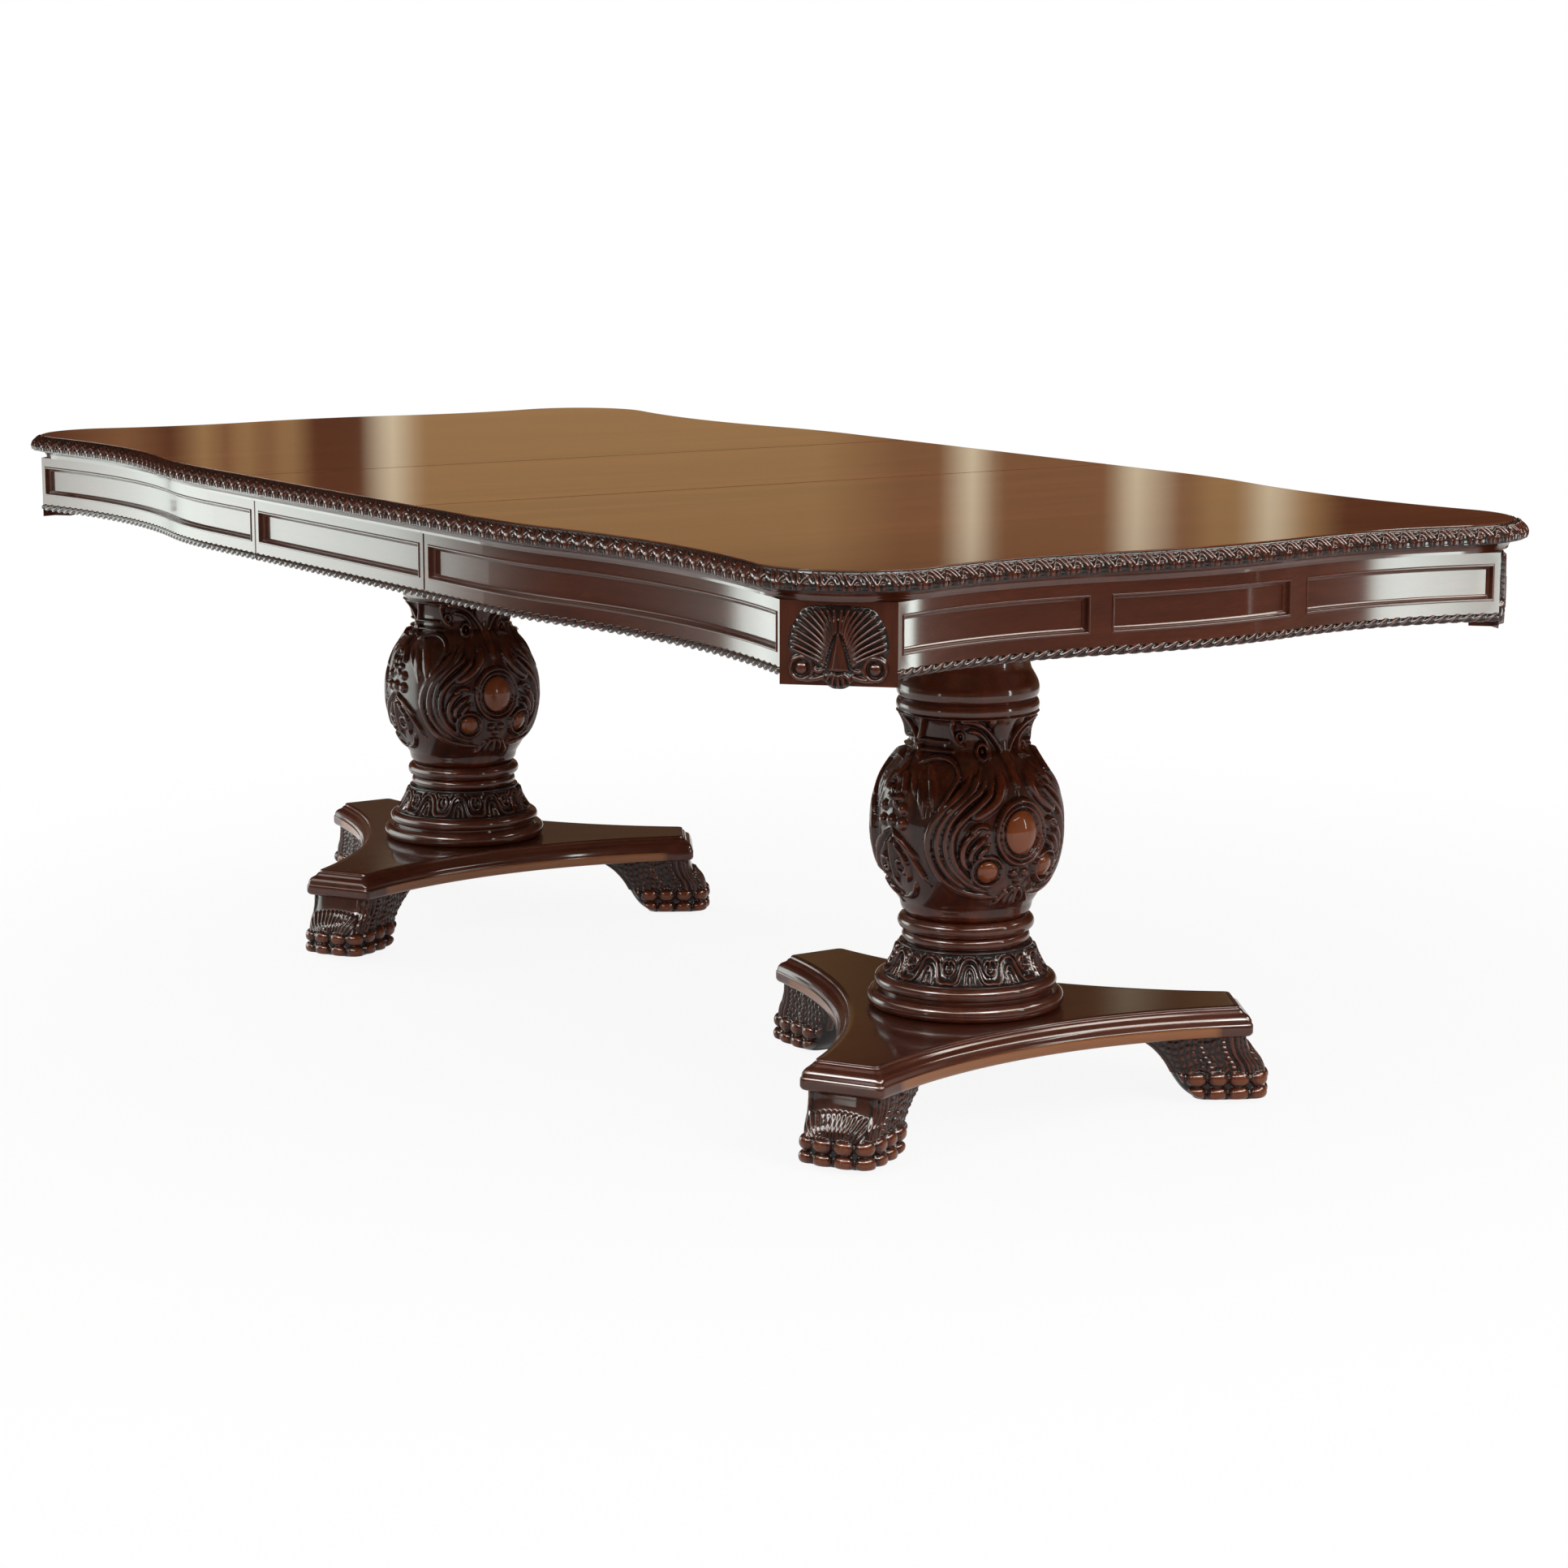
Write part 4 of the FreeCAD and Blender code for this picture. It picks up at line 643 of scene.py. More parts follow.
# Swell of the shoulder and flare of the neck: how much, and the height and the run over which they change.
SWELL, SWELL_Z, SWELL_RUN = 3.5, 440, 32
FLARE, FLARE_Z, FLARE_RUN = 8, 492, 29


def vase_radius(z):
    """Outline of the vase: two bulging arcs and a hollow one at the neck, with a swell at the shoulder that dies
    away as exp(-t^2) and a flare that grows with the square of the height above the neck."""
    lower, upper, neck = (arc_radius(z, *row) for row in VASE_ARCS)
    turned = np.where(z < VASE_BELLY, lower, np.where(z < VASE_SHOULDER, upper, neck))
    swell = SWELL * np.exp(-((z - SWELL_Z) / SWELL_RUN)**2)
    return turned + swell + FLARE * (np.clip(z - FLARE_Z, 0, None) / FLARE_RUN)**2


# Carving of a quarter of the vase. Its first coordinate runs from the axis of the oval cabochon, at 0, to that of the
# flower drop, measured round a circle of 110 radius, and its second is the height.
DROP = 172.8
OVAL = (0.0, 377.5)
ROUND = (43.3, 328.5)
SCROLL = (43.6, 479)
VASE_BOSSES = (
    (OVAL, (24, 30), 8.4), (ROUND, (14.5, 15.5), 7.8), (SCROLL, (4.2, 4.2), 7.4), ((28, 516), (8, 8), 6.6),
    ((DROP, 486), (9, 9), 7.2), ((DROP, 387), (8.5, 8.5), 6.0), ((154, 385), (8.5, 8.5), 5.8),
    ((154, 404), (7, 7.5), 5.4), ((8, 323.5), (6.5, 6.5), 5.4), ((0, 315), (6, 6), 5.4))
VASE_RINGS = (
    (OVAL, (27.5, 34), 2.2, 5.8), (OVAL, (32.5, 41), 3.0, 7.0), (ROUND, (18.8, 19.8), 2.8, 6.6),
    (SCROLL, (9, 9), 3.2, 7.4), ((82, 497), (6, 6), 2.6, 6.4), ((157, 328), (8, 9), 2.8, 5.0))
VASE_RIDGES = (
    # four long strands that sweep down from the neck and hook under the round cabochon
    (6.0, 6.4, 0.1, (62.5, 456), (66.7, 443), (80, 426.6), (94.3, 410.8), (105.3, 396.3), (111.7, 383.6), (115, 369),
     (114.3, 353), (109.3, 335), (100.3, 319), (85.7, 306.4), (66.6, 298), (42.7, 293.5), (25, 291.5)),
    (5.2, 7.2, 0.1, (48, 462), (53.7, 449.5), (61.7, 435), (75, 420), (87.8, 407.5), (97, 393), (101.8, 379),
     (103.4, 363), (100.5, 345), (91.4, 327), (78.6, 312), (61.4, 303)),
    (4.6, 7.4, 0.1, (43, 446), (51.6, 433), (65.3, 421.5), (78.2, 407.7), (87.5, 393.6), (92.2, 379.4),
     (93.7, 363.3), (90.8, 345.4), (83.2, 329), (70.2, 314.2), (52.8, 304.4), (36, 300)),
    (4.4, 7.2, 0.1, (32.8, 442), (40, 429.3), (52.4, 416), (65.5, 404.3), (76.5, 392), (82.7, 381.4), (85.8, 367),
     (85, 351), (79.8, 334.6), (68.6, 319.8), (53, 308.2)),
    # smooth lobe over the oval
    (7.0, 6.2, 0.12, (24, 458), (22.5, 440), (31, 421), (47, 407), (66, 397)),
    # short leaf round the cabochon
    (4.6, 6.6, 0.2, (49.8, 384.7), (62.5, 376), (70.2, 365.5), (73.4, 353), (71.8, 340.2), (63.7, 325.4)),
    (4.2, 6.6, 0.2, (43.5, 375.6), (54.6, 365.3), (62.4, 354.7), (63.9, 343.8), (62.2, 336.5)),
    (3.8, 6.2, 0.3, (41.9, 364.8), (51.4, 352.6), (57.6, 343.7)),
    (3.4, 6.0, 0.2, (66, 378), (55, 388), (47, 388), (42, 382)),
    # arcs at the neck
    (4.0, 7.6, 0.1, (83.8, 517), (63, 517), (41, 509), (22.6, 495.6), (9.8, 481), (7.8, 471)),
    (3.6, 7.2, 0.12, (72, 505), (52, 503), (36, 492), (30, 478), (34, 466)),
    (4.2, 7.0, 0.12, (90.6, 520.6), (96.3, 505.6), (89.2, 491.4), (72.3, 482.8)),
    # two bars and the arch over the plain panel, and the panel's soft folds
    (2.4, 5.4, 0.06, (104, 490), (140, 490.5), (178, 490)),
    (2.4, 5.4, 0.06, (91, 478), (130, 478.5), (178, 478)),
    (3.0, 6.0, 0.1, (150, 462), (138, 467), (122, 471), (104, 471), (90, 466), (82, 457), (81, 447), (87, 436),
     (96, 419), (107, 401)),
    (7.0, 2.2, 0.4, (133.5, 466), (118.4, 448), (113, 432), (109.7, 401)),
    (7.0, 2.0, 0.4, (140, 452), (129.6, 431), (124, 397)),
    (5.0, 2.4, 0.4, (153, 452), (143, 436), (137, 420)),
    # knotted ribbons and the stem of the flower drop
    (4.8, 6.2, 0.1, (DROP, 486), (160, 503), (142, 523)),
    (4.0, 5.6, 0.2, (178, 490), (164, 478), (155, 466)),
    (5.0, 5.2, 0.3, (DROP, 468), (DROP, 452), (DROP, 434)),
    (3.6, 5.0, 0.1, (166, 452), (158, 438), (156, 424)),
    # spray under it
    (3.6, 5.6, 0.15, (DROP, 378), (150, 358.5), (131, 331.6), (117, 306)),
    (3.2, 5.0, 0.2, (158, 370), (140, 352), (128, 340)),
    (4.2, 5.6, 0.2, (DROP, 372), (DROP, 340), (DROP, 300)),
    (3.2, 5.0, 0.15, (168, 366), (160, 350), (150, 338), (147, 318), (156, 306)),
    (3.4, 4.8, 0.15, (138, 310), (144, 296), (156, 288), (DROP, 285)),
    # leaf under the oval
    (4.0, 5.6, 0.2, (0, 308), (0, 292), (0, 277)),
    (3.6, 5.2, 0.2, (3, 306), (12, 292), (14, 279)),
    (3.4, 4.6, 0.2, (12, 304), (24, 287), (34, 279)))
# Heights of the tongue over the oval, and its half width there.
TONGUE = ((430, 443, 458, 477, 503), (0.5, 7, 8, 12, 24))


def vase_carving(a, z):
    """Relief of a quarter of the vase, in millimetres above its ground: the tables, a flower on the drop, and a
    round tongue over the oval that widens with height."""
    tongue = 5.6 * (dome(a / np.interp(z, *TONGUE)) * ease(428, 436, z))
    flower = petals(a, z, (DROP, 418), 17, 6, 6.0)
    return np.maximum.reduce([tongue, flower, raised(a, z, VASE_RIDGES, VASE_BOSSES, VASE_RINGS)])


def turned_shape(side, radius, height, glaze_and_painted_light):
    """A surface turned about a pedestal's axis: radius and height over a grid of heights by angles."""
    angle = np.linspace(0, 2 * np.pi, radius.shape[1], endpoint=False)
    points = np.stack([side * PEDESTAL_X + radius * np.cos(angle), radius * np.sin(angle),
                       np.broadcast_to(height[:, None], radius.shape)], -1)
    shape = Shape()
    shape.add(points, glaze_and_painted_light, flip=True)
    return shape


def quarter_columns(count):
    """Which column of a quarter each of count columns round the circle repeats, for a pattern that is
    mirrored at every quarter turn."""
    index = np.arange(count) % (count // 2)
    return np.where(index > count // 4, count // 2 - index, index)


VASE_COLUMNS = 400
VASE_ROWS = 238
VASE_GROUND = 4.8
VASE_DEPTH = 1.3
# The carving runs in over these heights, and out over this run below the top.
VASE_FADE = (258, 274)
VASE_TOP_FADE = 5


def carved_vase(half, side):
    """Vase of a column: its outline cut back to a ground and left standing where it is carved. The ground is dark
    beside a cut, with painted shade, and the two cabochons are wiped to a lighter stain with painted highlight."""
    z = np.linspace(VASE_BOTTOM, VASE_TOP, VASE_ROWS)
    high_up, round_it = np.meshgrid(z, np.linspace(0, DROP, VASE_COLUMNS // 4 + 1), indexing="ij")
    repeat = quarter_columns(VASE_COLUMNS)
    carving = vase_carving(round_it, high_up)[:, repeat]
    deep = (ease(*VASE_FADE, z) * ease(0, VASE_TOP_FADE, VASE_TOP - z))[:, None]
    radius = vase_radius(z)[:, None] + VASE_DEPTH * deep * (carving - VASE_GROUND)
    # dark glaze with painted shade in the recesses
    glaze_and_painted_light = recess_glaze_and_shade(carving.T, 7, 4.0).T * deep + 0.62 * (1 - deep)
    # more painted shade on the ground close beside the carving
    painted_shade_beside_cut = ease(0.2, 2.2, spread(carving.T, 5, True).T)
    glaze_and_painted_light = np.where(carving < 0.05, np.maximum(glaze_and_painted_light, EVEN_GLAZE_AND_LIGHT - 0.26 * painted_shade_beside_cut), glaze_and_painted_light)
    # the cabochons wiped to a lighter stain with painted highlight
    gems = np.maximum(boss(round_it, high_up, OVAL, (23, 29), 1), boss(round_it, high_up, ROUND, (14, 15), 1))
    glaze_and_painted_light = np.maximum(glaze_and_painted_light, 0.88 * ease(0, 0.3, gems)[:, repeat])
    turned_shape(side, radius, z, glaze_and_painted_light).piece(half, "vase_carving", CARVED, "carved_wood", "carved_vase")


# Carving of half a repeat of the flared band: a tall arch over a small one with a leaf in it, and a scroll between two
# arches. It runs from the arch's axis to the scroll's, and up from the band's foot.
BAND_REPEATS = 11
BAND_STEPS = 26
BAND_ROWS = 44
BAND_HALF = 28.5
BAND_GROUND = 3.8
BAND_DEPTH = 1.9
BAND_BORDERS = ((41, 2.2), (0.8, 1.8))
BAND_RIDGES = (
    (2.3, 3.4, 0.03, (-5, 35), (3, 35), (9.5, 30), (13, 20), (16, 10), (21, 5.5), (30, 6)),
    (1.8, 3.0, 0.03, (-3, 24), (1.5, 24), (5, 19.5), (6.6, 11), (7.5, 3)),
    (2.2, 3.0, 0.12, (0, 3), (0, 9), (0, 16)),
    (2.0, 3.2, 0.06, (29, 14), (24, 15.5), (20.5, 21), (20.5, 28), (24.5, 33), (28.5, 31), (28.5, 25)),
    (1.7, 2.8, 0.12, (17, 29), (14.5, 34), (10, 38)))
BAND_BOSSES = (((BAND_HALF, 22), (3.2, 3.2), 3.0),)


def carved_band(half, side):
    """Flared band at the foot of a column, carved between two borders."""
    v = np.linspace(0, BAND_TOP - BAND_BOTTOM, BAND_ROWS)
    up, across = np.meshgrid(v, np.linspace(0, BAND_HALF, BAND_STEPS + 1), indexing="ij")
    repeat = np.concatenate([np.arange(BAND_STEPS), np.arange(BAND_STEPS, 0, -1)])
    carving = BAND_DEPTH * raised(across, up, BAND_RIDGES, BAND_BOSSES)[:, np.tile(repeat, BAND_REPEATS)]
    border = ribs(v, *BAND_BORDERS) * 2.4
    carving = np.maximum(carving, border[:, None])
    z = BAND_BOTTOM + v
    base = arc_radius(z, (110.0, BAND_BOTTOM), (89.0, BAND_TOP), 90.0, -1)
    radius = base[:, None] + (carving - BAND_GROUND) * ease(0, 1.5, v)[:, None]
    # dark glaze with painted shade on the ground between the carving
    glaze_and_painted_light = recess_glaze_and_shade(carving.T, 3, 3.0).T * ease(0, 3.5, carving)
    turned_shape(side, radius, z, glaze_and_painted_light).piece(half, "band_carving", CARVED, "carved_wood", "carved_band")


# Outline of a cap, as radius and height: a half-round lip, and a drum that swells over it and draws in.
CAP_SECTION = np.vstack([
    smooth_curve([(85, VASE_TOP), (91, VASE_TOP + 2), (93.2, VASE_TOP + 9), (91, VASE_TOP + 16),
                  (86.5, VASE_TOP + CAP_LIP)], 17),
    smooth_curve([(88, 539.6), (91.6, 544), (93, 551), (91.4, 560), (87, 569), (82.2, 577.5), (80, 587)], 26),
    [(80, PLATE_BOTTOM)]])
CAP_COLUMNS = 128


def swollen_cap(half, side):
    """Cap of a column: its outline turned about the pedestal's axis."""
    radius = np.repeat(CAP_SECTION[:, :1], CAP_COLUMNS, axis=1)
    shape = turned_shape(side, radius, CAP_SECTION[:, 1], 0.0)
    shape.piece(half, "swollen_cap", UPRIGHT_GRAIN, "lacquered_wood", "column_cap")


for half, side in HALVES:
    carved_vase(half, side)
    carved_band(half, side)
    swollen_cap(half, side)


# Platforms.
ARM_REACH = 358.0
TIP_HALF = 43.0
WAIST = 155.0
TIP_ROUND = 8.0
EDGE_EASE = 0.9
SIXTH_TURN = np.exp(1j * np.pi / 3)
# Heights and distances from the pedestal's axis over which the painted reflection ends.
PAINTED_REFLECTION_TOP = (108.0, 109.0)
PAINTED_REFLECTION_END = (325, 352)
# The edge of a platform, from its top round to its underside: offset from the top's outline, and height.
PLATFORM_SECTION = np.array([
    (-8.0, PLATFORM_TOP), (0.0, PLATFORM_TOP), (0.0, 127.6), (3.0, 126.1), (5.0, 122.6), (11.0, 119.2), (14.1, 114.3),
    (14.6, 109.7), (16.0, 108.2), (16.0, 97.6), (14.1, 94.1), (11.5, PLATFORM_BOTTOM), (3.5, PLATFORM_BOTTOM)])


def eased_corners(line, reach):
    """A line whose inner corners are cut by two points a reach to their sides, so that each shades as a round."""
    way = np.diff(line, axis=0)
    length = np.linalg.norm(way, axis=1, keepdims=True)
    step = way / length * np.minimum(reach, 0.4 * length)
    inner = np.stack([line[1:-1] - step[:-1], line[1:-1] + step[1:]], 1).reshape(-1, line.shape[1])
    return np.vstack([line[:1], inner, line[-1:]])


def platform_outline(offset):
    """Outline of a platform for each offset, as complex numbers x + iy: each arm has a straight tip, a round
    corner (a parabola that the corner draws in) and an arc hollowed towards the waist, and is mirrored there."""
    tip = (ARM_REACH - 1j * TIP_HALF) * SIXTH_TURN
    away = (abs(tip)**2 - WAIST**2) / (2 * (tip.real - WAIST))
    hub = away * np.conj(SIXTH_TURN)
    offset = offset[:, None]
    radius = away - WAIST - offset
    reach = ARM_REACH + offset
    corner = reach + 1j * (hub.imag + np.sqrt(radius**2 - (reach - hub.real)**2))
    start = np.angle(corner - hub) + TIP_ROUND / radius
    t = np.linspace(0, 1, 10)
    before, after = corner + 1j * TIP_ROUND, hub + radius * np.exp(1j * start)
    bend = (1 - t)**2 * before + 2 * t * (1 - t) * corner + t**2 * after
    hollow = hub + radius * np.exp(1j * (start + (np.pi * 2 / 3 - start) * np.linspace(0, 1, 48)))
    half = np.hstack([reach + 1j * before.imag * t, bend[:, 1:], hollow[:, 1:]])
    other = np.conj(half * SIXTH_TURN) * np.conj(SIXTH_TURN)
    third = np.hstack([half[:, :-1], other[:, :0:-1]])
    return np.hstack([third * np.exp(1j * (np.pi - 2 * np.pi * k / 3)) for k in range(3)])


def platform(half, side):
    """Platform of a pedestal: its stepped edge carried round the outline, closed by a flat top and underside. The
    upright band of its hollow sides carries a painted warm reflection."""
    section = eased_corners(PLATFORM_SECTION, EDGE_EASE)
    outline = platform_outline(section[:, 0])
    height = section[:, 1][:, None] + 0 * outline.real
    points = np.stack([side * PEDESTAL_X + outline.real, outline.imag, height], -1)
    # painted reflection on the low upright band, fading out before the arm tips
    painted_reflection = (1 - ease(*PAINTED_REFLECTION_TOP, height)) * (1 - ease(*PAINTED_REFLECTION_END, np.abs(outline)))
    shape = Shape()
    shape.add(points, painted_reflection, flip=True)
    shape.piece(half, "stepped_platform", PAINTED_REFLECTION, "lacquered_wood", "platform")


# Paw feet.
PAW_BOTTOM = 5.0
TOES_TOP = 44.0
PAW_COLUMNS = 280
PAW_POWER = 5
PAW_FORM = np.array([62, 49])
PAW_CORNER = 51.0
PAW_GROUND = 1.5
PAW_RIM = 13.0
TOE_PITCH = 28.5
TOE_HALF = 10.5
TOE_MIDDLES = (13.5, 33.5)
TOE_ROUND = 2.2
HAIR_PITCH = 0.105
HAIR_FOOT = 2
HAIR_TOP = 70
BEAD_PITCH = 7.0
# Ribs and lines past the corner, and beaded strips on the side, with their half widths.
CORNER_RIBS = ((-5, 2.8), (0.8, 2.8))
CORNER_LINES = ((6.4, 2.6), (15, 3.6))
SIDE_STRIPS = ((77, 4.6), (107, 4.6))
# Back, front and half width of a paw, each with its height.
PAW_LINES = (
    ((300, 5), (284, 17), (272, 33), (264, 48), (254, 62), (240, 76), (224, 87), (214, 93)),
    ((386, 5), (391, 9), (393, 24), (393, 41), (389, 54), (379.5, 66), (373, 79), (370.5, 93)),
    ((43, 5), (46, 9), (47, 24), (47, 41), (49, 60), (52, 78), (54, 93)))


def paw_outline(z):
    """Back, front and half width of a paw at each height: an S-shaped back, upright toes and a front that
    leans back and rises in a hollow to the platform."""
    curves = (smooth_curve(line, 120) for line in PAW_LINES)
    return (np.interp(z, curve[:, 1], curve[:, 0]) for curve in curves)


def paw_carving(along, z, depth):
    """Relief of a paw, and how far its toes and bare wood are wiped, as glaze and painted light: the toes wiped to a
    lighter stain with painted highlight, the bare wood kept clear of painted shade. Its relief has two rows of round
    toes all round, over them hair flutes on the front that spread from below the toes, upright ribs at the corner,
    and on the side beaded strips, rough hair and a rim along the back. along is the way round from the middle of the
    front."""
    a = np.abs(along)
    past_corner = a - PAW_CORNER
    rim = PAW_CORNER + depth - PAW_RIM
    sides = 1 - ease(-16, -6, a - rim)
    beside_toe = np.abs(np.abs((a / TOE_PITCH) % 1 - 0.5) * 2)**TOE_ROUND
    low, high = (np.clip(1 - beside_toe - np.abs((z - middle) / TOE_HALF)**TOE_ROUND, 0, 1)
                 for middle in TOE_MIDDLES)
    toes = 11.0 * np.sqrt(np.maximum(low, 0.85 * high)) * sides
    hair = np.abs(np.cos(np.pi * np.arctan2(a, z - HAIR_FOOT) / HAIR_PITCH))**0.8
    front = 1 - ease(-12, -8, past_corner)
    fan = 5.0 * hair * (1 - ease(-3, 0, z - HAIR_TOP - 5 * hair + 10 * (a / PAW_CORNER)**2)) * front
    leaf = 4.2 * ribs(past_corner, *CORNER_RIBS)
    lines = 4.0 * ribs(past_corner, *CORNER_LINES)
    beads = 0.3 + 0.7 * np.abs(np.cos(np.pi * z / BEAD_PITCH))
    strips = 4.6 * ribs(a, *SIDE_STRIPS) * beads
    rough = 3.0 * np.abs(np.sin(a / 2.6 + z / 8)) * np.abs(np.sin(z / 3.2 + np.sin(a / 7.0)))
    rough = rough * ease(80, 83, a) * sides
    edge = 3.8 * dome((a - rim) / 4.5)
    shank = np.maximum.reduce([fan, leaf, lines, strips, rough, edge]) * ease(39, 42, z)
    bare = 0.5 * front * (fan < 0.05) * ease(60, 66, z)
    # toes wiped to a lighter stain with painted highlight; bare wood kept at the plain level
    return np.maximum(toes, shank), np.maximum(0.84 * ease(5.0, 9.0, toes), bare)


def signed_power(x, power):
    """The size of x raised to a power, with the sign of x."""
    return np.sign(x) * np.abs(x)**power


def paw(shape, centre_x, degrees):
    """One paw: at each height a rounded rectangle (|x|^5 + |y|^5 = 1), pushed out by the carving."""
    z = np.concatenate([np.linspace(PAW_BOTTOM, TOES_TOP, 52), np.linspace(TOES_TOP, PLATFORM_BOTTOM, 41)[1:]])
    back, front, wide = paw_outline(z)
    angle = np.linspace(-np.pi, np.pi, 6001)
    rounded = np.stack([signed_power(wave(angle), 2 / PAW_POWER) for wave in (np.cos, np.sin)], -1)
    unit_x, unit_y = resampled(rounded * PAW_FORM, PAW_COLUMNS + 1)[:-1].T / PAW_FORM[:, None]
    x = (front + back)[:, None] / 2 + (front - back)[:, None] / 2 * unit_x
    y = wide[:, None] * unit_y
    step = np.hypot(np.diff(x, axis=1, append=x[:, :1]), np.diff(y, axis=1, append=y[:, :1]))
    run = np.cumsum(step, axis=1) - step
    along = run - run[:, PAW_COLUMNS // 2][:, None]
    high, wiped_and_highlighted = paw_carving(along, z[:, None] + 0 * along, (front - back)[:, None])
    way_x, way_y = np.gradient(x, axis=1), np.gradient(y, axis=1)
    size = np.hypot(way_x, way_y) + 1e-9
    relief = (high - PAW_GROUND) * ease(5, 8, z)[:, None]
    x = x + way_y / size * relief
    y = y - way_x / size * relief
    turn = math.radians(degrees)
    points = np.stack([centre_x + x * math.cos(turn) - y * math.sin(turn),
                       x * math.sin(turn) + y * math.cos(turn), z[:, None] + 0 * x], -1)
    # dark glaze with painted shade on the ground between the carving
    glaze_and_painted_light = recess_glaze_and_shade(high, 3, 2.6) * (0.55 + 0.45 * ease(0, 2.5, high))
    shape.add(points, np.maximum(glaze_and_painted_light, wiped_and_highlighted), flip=True)


for half, side in HALVES:
    platform(half, side)
    paws = Shape()
    for degrees in ARM_ANGLES:
        paw(paws, side * PEDESTAL_X, degrees)
    paws.piece(half, "paws", CARVED, "carved_wood", "paw_feet")


# Shells on the corner blocks, mirrored about their middles: across, and up from the foot of the block.
SHELL_RIM = [(0, -3.5), (6, -3), (12, 0), (17, 4.5), (24, 4.5), (34, 3.0), (45, 4.0), (53.5, 9.5), (57, 19),
             (55.5, 28), (53, 34), (57, 40), (57.5, 47), (56, 56), (53.5, 65), (48.5, 74), (43, 83), (36, 88),
             (27, 89.5), (18, 89), (9, 90.5), (0, 89.5)]
SHELL_MIDDLE = (0.0, 40.0)
SHELL_RINGS = 46
SHELL_ROUND = 0.955
HINGE, HINGE_RISE = 15, 44
SHELL_RIBS = (((13, 20), (27, 30), (55, 42)), ((12, 23), (26, 35), (55.5, 49)), ((11.5, 27), (25, 41), (54, 57)),
              ((11, 31), (23.5, 47), (52, 65)), ((10, 35), (21.5, 52), (48, 73)), ((9, 39), (19.5, 58), (43.5, 80)),
              ((8, 43), (17, 63), (37, 85)), ((7, 47), (14, 67), (29, 87)), ((6, 51), (10.5, 70), (21, 87)),
              ((4.5, 55), (6.5, 72), (13.5, 88)), ((2.2, 57), (2.6, 72), (5, 88)))
SHELL_BUTTON = (42, 19.5)
SHELL_RIDGES = (
    *((2.1, 4.8, 0.12, *rib) for rib in SHELL_RIBS),
    # volutes
    (3.0, 4.4, 0.12, (14, 12), (22, 8.5), (32, 6.8), (42, 7.0)),
    (2.6, 3.4, 0.12, (16, 18), (24, 16), (30, 21)),
    # palmette
    (2.4, 4.8, 0.12, (0, 14), (0, 6), (0, -3.5)),
    (2.4, 4.6, 0.12, (3, 14.5), (6, 7), (7.2, -1.5)),
    (2.4, 4.4, 0.12, (5, 15), (11, 10), (14.5, 3.5)))


def shell_carving(u, v):
    """Relief of a scallop shell: ribs that rise from a smooth drop at the hinge and bend outwards, two volutes with
    buttons at the lower corners and a palmette between them."""
    a = np.abs(u)
    rise = np.clip((v - HINGE) / HINGE_RISE, 0, 1)
    drop = 5.4 * dome(a / (12.5 * (1 - rise)**0.75 + 0.3)) * ease(14, 19, v) * (rise < 1)
    return np.maximum(drop, raised(a, v, SHELL_RIDGES, [(SHELL_BUTTON, (7.6, 7.6), 5.6)],
                                   [(SHELL_BUTTON, (12.6, 12.6), 2.6, 4.6)]))


def shell(shape, x_sign, y_sign):
    """One shell: rings of points drawn from its middle out to its rim, raised by the carving and let down to
    the block at the rim, with a flat back."""
    rim = smooth_curve([(-a, v) for a, v in SHELL_RIM[:0:-1]] + SHELL_RIM[:1], 150)
    rim = np.vstack([rim[:-1], rim[::-1][:-1] * [-1, 1]])
    share = np.linspace(0.02, 1, SHELL_RINGS)[:, None, None]
    flat = np.array(SHELL_MIDDLE) + share * (rim - SHELL_MIDDLE)[None]
    u, v = flat[..., 0], flat[..., 1]
    high = shell_carving(u, v)
    share = share[..., 0]
    out = (1.0 + 1.0 * (1 - share**2) + high) * dome(np.clip(share - SHELL_ROUND, 0, 1) / 0.0452)
    # dark glaze with painted shade on the ground between the ribs
    glaze_and_painted_light = recess_glaze_and_shade(high, 3, 2.4) * ease(0, 2.4, high)
    out = np.vstack([out, np.full((1, out.shape[1]), -0.4)])
    u, v, glaze_and_painted_light = (np.vstack([array, array[-1:]]) for array in (u, v, glaze_and_painted_light))
    normal = np.array([x_sign, y_sign]) * math.sqrt(0.5)
    right = np.array([-normal[1], normal[0]])
    middle = np.array([x_sign * (BLOCK_X + HALF_LENGTH) / 2, y_sign * (BLOCK_Y + BLOCK_Y - CANT) / 2])
    points = np.concatenate([middle + u[..., None] * right + out[..., None] * normal,
                             (BLOCK_BOTTOM + v)[..., None]], -1)
    shape.add(points, glaze_and_painted_light)


for half, side in HALVES:
    shells = Shape()
    for y_sign in (-1, 1):
        shell(shells, side, y_sign)
    shells.piece(half, "shells", CARVED, "carved_wood", "shell_carvings")


# Frames of the sunk panels.
PANEL_LOW = APRON_BOTTOM + 16.0
PANEL_HIGH = APRON_TOP - 14.0
SEAM_STILE = 12.0
BLOCK_STILE = 8.0
END_STILES = 0.33 * (BLOCK_Y - CANT)
END_STILE_WIDTH = 28.0
STATIONS = 4000
MITRE = 0.4
# Bead and hollow of a frame: steps in from the edge of the sunk panel, and out from its face.
FRAME_SECTION = np.vstack([smooth_curve([(-0.3, 0.2), (0.5, 1.0), (1.6, 1.3), (2.7, 0.7), (3.0, -0.6)], 9),
                           smooth_curve([(3.3, -1.6), (3.8, -4.0), (5.2, -6.2), (7.4, -7.3)], 7),
                           [(7.6, -8.3), (-0.3, -8.3)]])


